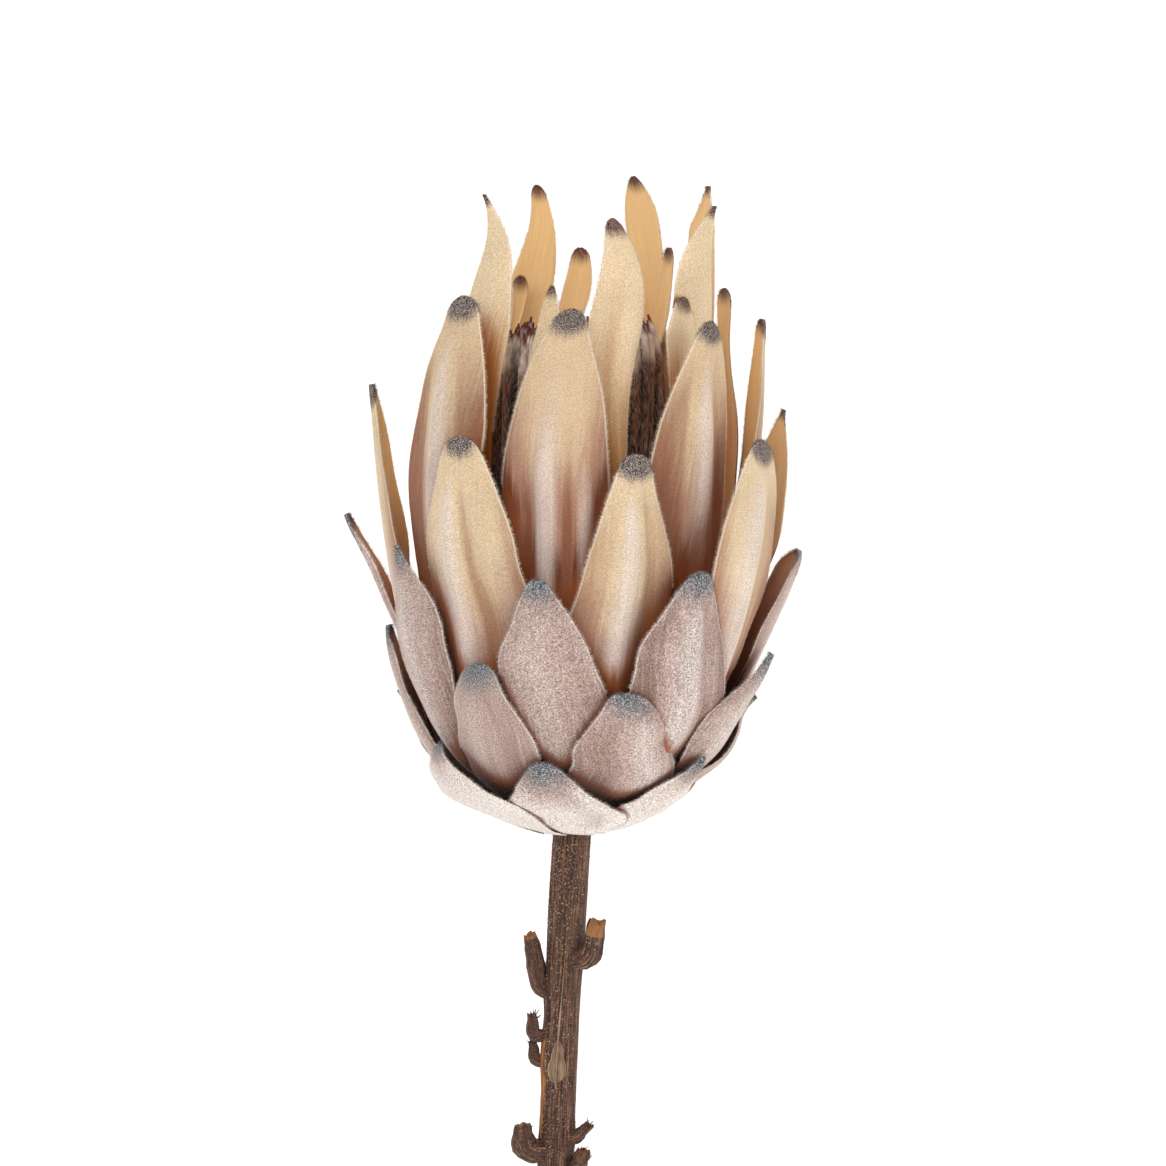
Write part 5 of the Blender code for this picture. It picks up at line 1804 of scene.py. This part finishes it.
# ---------------------------------------------------------------- studio
@dataclass(frozen=True)
class Studio:
    """White floor, soft lights and the camera, which looks down on the flower as it lies."""

    distance: float = 1100.0        # from the flower's axis, in millimetres
    frame_width: float = 268.2      # what the lens takes in at that distance
    sensor_width: float = 36.0
    centre: tuple[float, float] = (2.5, 57.5)   # aimed at, across and along the flower
    floor_size: float = 12.0        # metres
    floor_thickness: float = 0.01
    # Each light's name, its place in metres from the flower's middle, its size and its power.
    lights: tuple = (("key_light", (-0.42, 0.30, 1.0), 0.9, 6.6), ("fill_light", (0.8, -0.2, 0.7), 1.0, 4.5),
                     ("foot_light", (0.05, -1.0, 0.35), 0.8, 4.5))
    lit_height: float = 75.0        # the flower's middle, which the lights look at
    world_strength: float = 0.52

    def build(self) -> None:
        """Build the floor, the lights, the world and the camera."""
        self.build_floor()
        self.build_lights()
        self.build_camera()

    def build_floor(self) -> None:
        """Build the floor as a wide thin board under the flower."""
        half = self.floor_size / 2
        mesh = bpy.data.meshes.new("studio_floor")
        corners = [(x * half, y * half, z) for z in (0.0, -self.floor_thickness)
                   for x, y in ((-1, -1), (1, -1), (1, 1), (-1, 1))]
        sides = [(k, k + 4, (k + 1) % 4 + 4, (k + 1) % 4) for k in range(4)]
        mesh.from_pydata(corners, [], [(0, 1, 2, 3), (7, 6, 5, 4), *sides])
        mesh.materials.append(PaintedBoard().build())
        add_object("studio_floor", mesh)

    def aim(self, thing: bpy.types.Object, eye: Vector, target: Vector, upward: Vector) -> None:
        """Stand a thing at one place so that it looks at another.

        Args:
            thing: the camera or light.
            eye: where it stands.
            target: what it looks at.
            upward: the direction that is up in its view.
        """
        back = (eye - target).normalized()
        right = upward.cross(back).normalized()
        turned = Matrix((right, back.cross(right), back)).transposed().to_4x4()
        thing.matrix_world = Matrix.Translation(eye) @ turned

    def build_lights(self) -> None:
        """Hang a soft light high to the left, weaker ones to the right and below, and a white world."""
        target = Vector(LAY.place(np.array([0.0, 0.0, self.lit_height])))
        for name, offset, size, power in self.lights:
            lamp = bpy.data.lights.new(name, "AREA")
            lamp.shape, lamp.size, lamp.energy = "SQUARE", size, power
            self.aim(add_object(name, lamp), target + Vector(offset), target, Vector((0, 1, 0)))
        world = bpy.data.worlds.new("white_studio")
        world.use_nodes = True
        background = world.node_tree.nodes["Background"]
        background.inputs["Color"].default_value = srgb("#FFFFFF")
        background.inputs["Strength"].default_value = self.world_strength
        bpy.context.scene.world = world
        bpy.context.scene.view_settings.view_transform = "Standard"

    def build_camera(self) -> None:
        """Stand the camera square to the flower's axis, looking down on it."""
        across, along = self.centre
        lens = bpy.data.cameras.new("studio_camera")
        lens.sensor_width = self.sensor_width
        lens.lens = self.sensor_width * self.distance / self.frame_width
        camera = add_object("studio_camera", lens)
        eye, target = (Vector(LAY.place(np.array([across, -away, along]))) for away in (self.distance, 0.0))
        self.aim(camera, eye, target, Vector(LAY.turned(np.array([0.0, 0.0, 1.0]))))
        bpy.context.scene.camera = camera


def main() -> None:
    """Build the dressed flower and its studio."""
    logging.basicConfig(level=logging.INFO, format="%(message)s")
    grey = VelvetNap(
        "grey_bract_velvet", nap="#B59C92", low="#A3887E", foot="#7E5848", pale_streak_and_crest_highlight="#DCD2CC", dark_streak_and_fold_shade="#76584C",
        rim="#EEDDD0", cap="#4A4E55", cap_bloom="#A3A6A6", pepper="#514541", rust_and_shade="#8A5540", painted_gap_shade="#2A120A",
        low_from=20.0, low_to=48.0, foot_to=70.0, cap_fade=4.5, grain=0.30, grain_contrast=0.62,
        pepper_share=0.62, streak_strength=0.22, sheen=0.20, rust_shade_from=0.24, rust_shade_to=0.52, flank_stretch=1.2,
        shelter_shade_reach=30.0)
    skirt = replace(grey, name="skirt_bract_velvet", low="#DDD1C9", foot="#E4DAD2", low_from=6.0, low_to=17.0,
                    foot_to=30.0, shelter_shade_reach=0.0)
    tan = VelvetNap(
        "tan_bract_velvet", nap="#CCB18F", low="#A67E68", foot="#672F18", pale_streak_and_crest_highlight="#DDD0C8", dark_streak_and_fold_shade="#86553B",
        rim="#F2E2CB", cap="#2C2726", cap_bloom="#BAABA2", pepper="#94705A", rust_and_shade="#94512A", painted_gap_shade="#370F03",
        low_from=22.0, low_to=50.0, foot_to=72.0, cap_reach=5.2, cap_fade=1.7, cap_ragged=2.2, grain=0.27,
        grain_contrast=0.28, pepper_share=0.26, streak_strength=0.08, sheen=0.08, flank_stretch=1.45)
    upper = replace(
        tan, name="upper_bract_velvet", nap="#D4BC9A", low="#AE8B79", dark_streak_and_fold_shade="#9C7052",
        low_from=26.0, low_to=56.0, foot_to=92.0, flank_stretch=1.3, shelter_shade_reach=34.0)
    inner = replace(
        tan, name="inner_bract_velvet", nap="#DCC4A0", low="#C2935F", foot="#8A4E22", dark_streak_and_fold_shade="#A8764A",
        rust_and_shade="#A5652E", cap="#43302C", cap_bloom="#A88878", cap_reach=3.7, low_from=30.0, low_to=66.0,
        foot_to=96.0, flank_stretch=1.2, shelter_shade_reach=14.0)
    grey_inner = LeatheryFace(
        "grey_bract_inner_face", upper="#B8805C", middle="#A05E3C", deep="#84442A", cap="#3E302C",
        cap_bloom="#7C6A62", painted_gap_shade="#5E2616", middle_from=8.0, middle_to=22.0, deep_to=40.0)
    # Its colours are lifted to stand in for light shining through the thin bracts: partly the face's own ochre,
    # partly painted light.
    tan_inner = LeatheryFace(
        "tan_bract_inner_face", upper="#EBBF84", middle="#E0A668", deep="#AE6430", cap="#45201A",
        cap_bloom="#8C5E50", painted_gap_shade="#4E200A")
    FlowerHead(skirt, grey, upper, tan, inner, grey_inner, tan_inner).build()
    wool = FloretWool("floret_wool_felt", dark="#482A1E", light="#BE9884", band="#F0E6DC", tuft="#6E3022")
    FloretMass(wool).build()
    Stem(bark=DryBark("dry_stem_bark", crack="#1C110C", bark="#573A2C", worn="#9C725A", bleached="#7C6352",
                      cork="#B0907A"),
         wood=BareWood("torn_stem_wood", light="#AC7444", dark="#5E3820"),
         lenticel=BareWood("pale_lenticel_cork", light="#B59C86", dark="#7C6350"),
         scar=BareWood("leaf_scar_cork", light="#A08365", dark="#4A3424", fibre=0.7)).build()
    Studio().build()


if __name__ == "__main__":
    main()
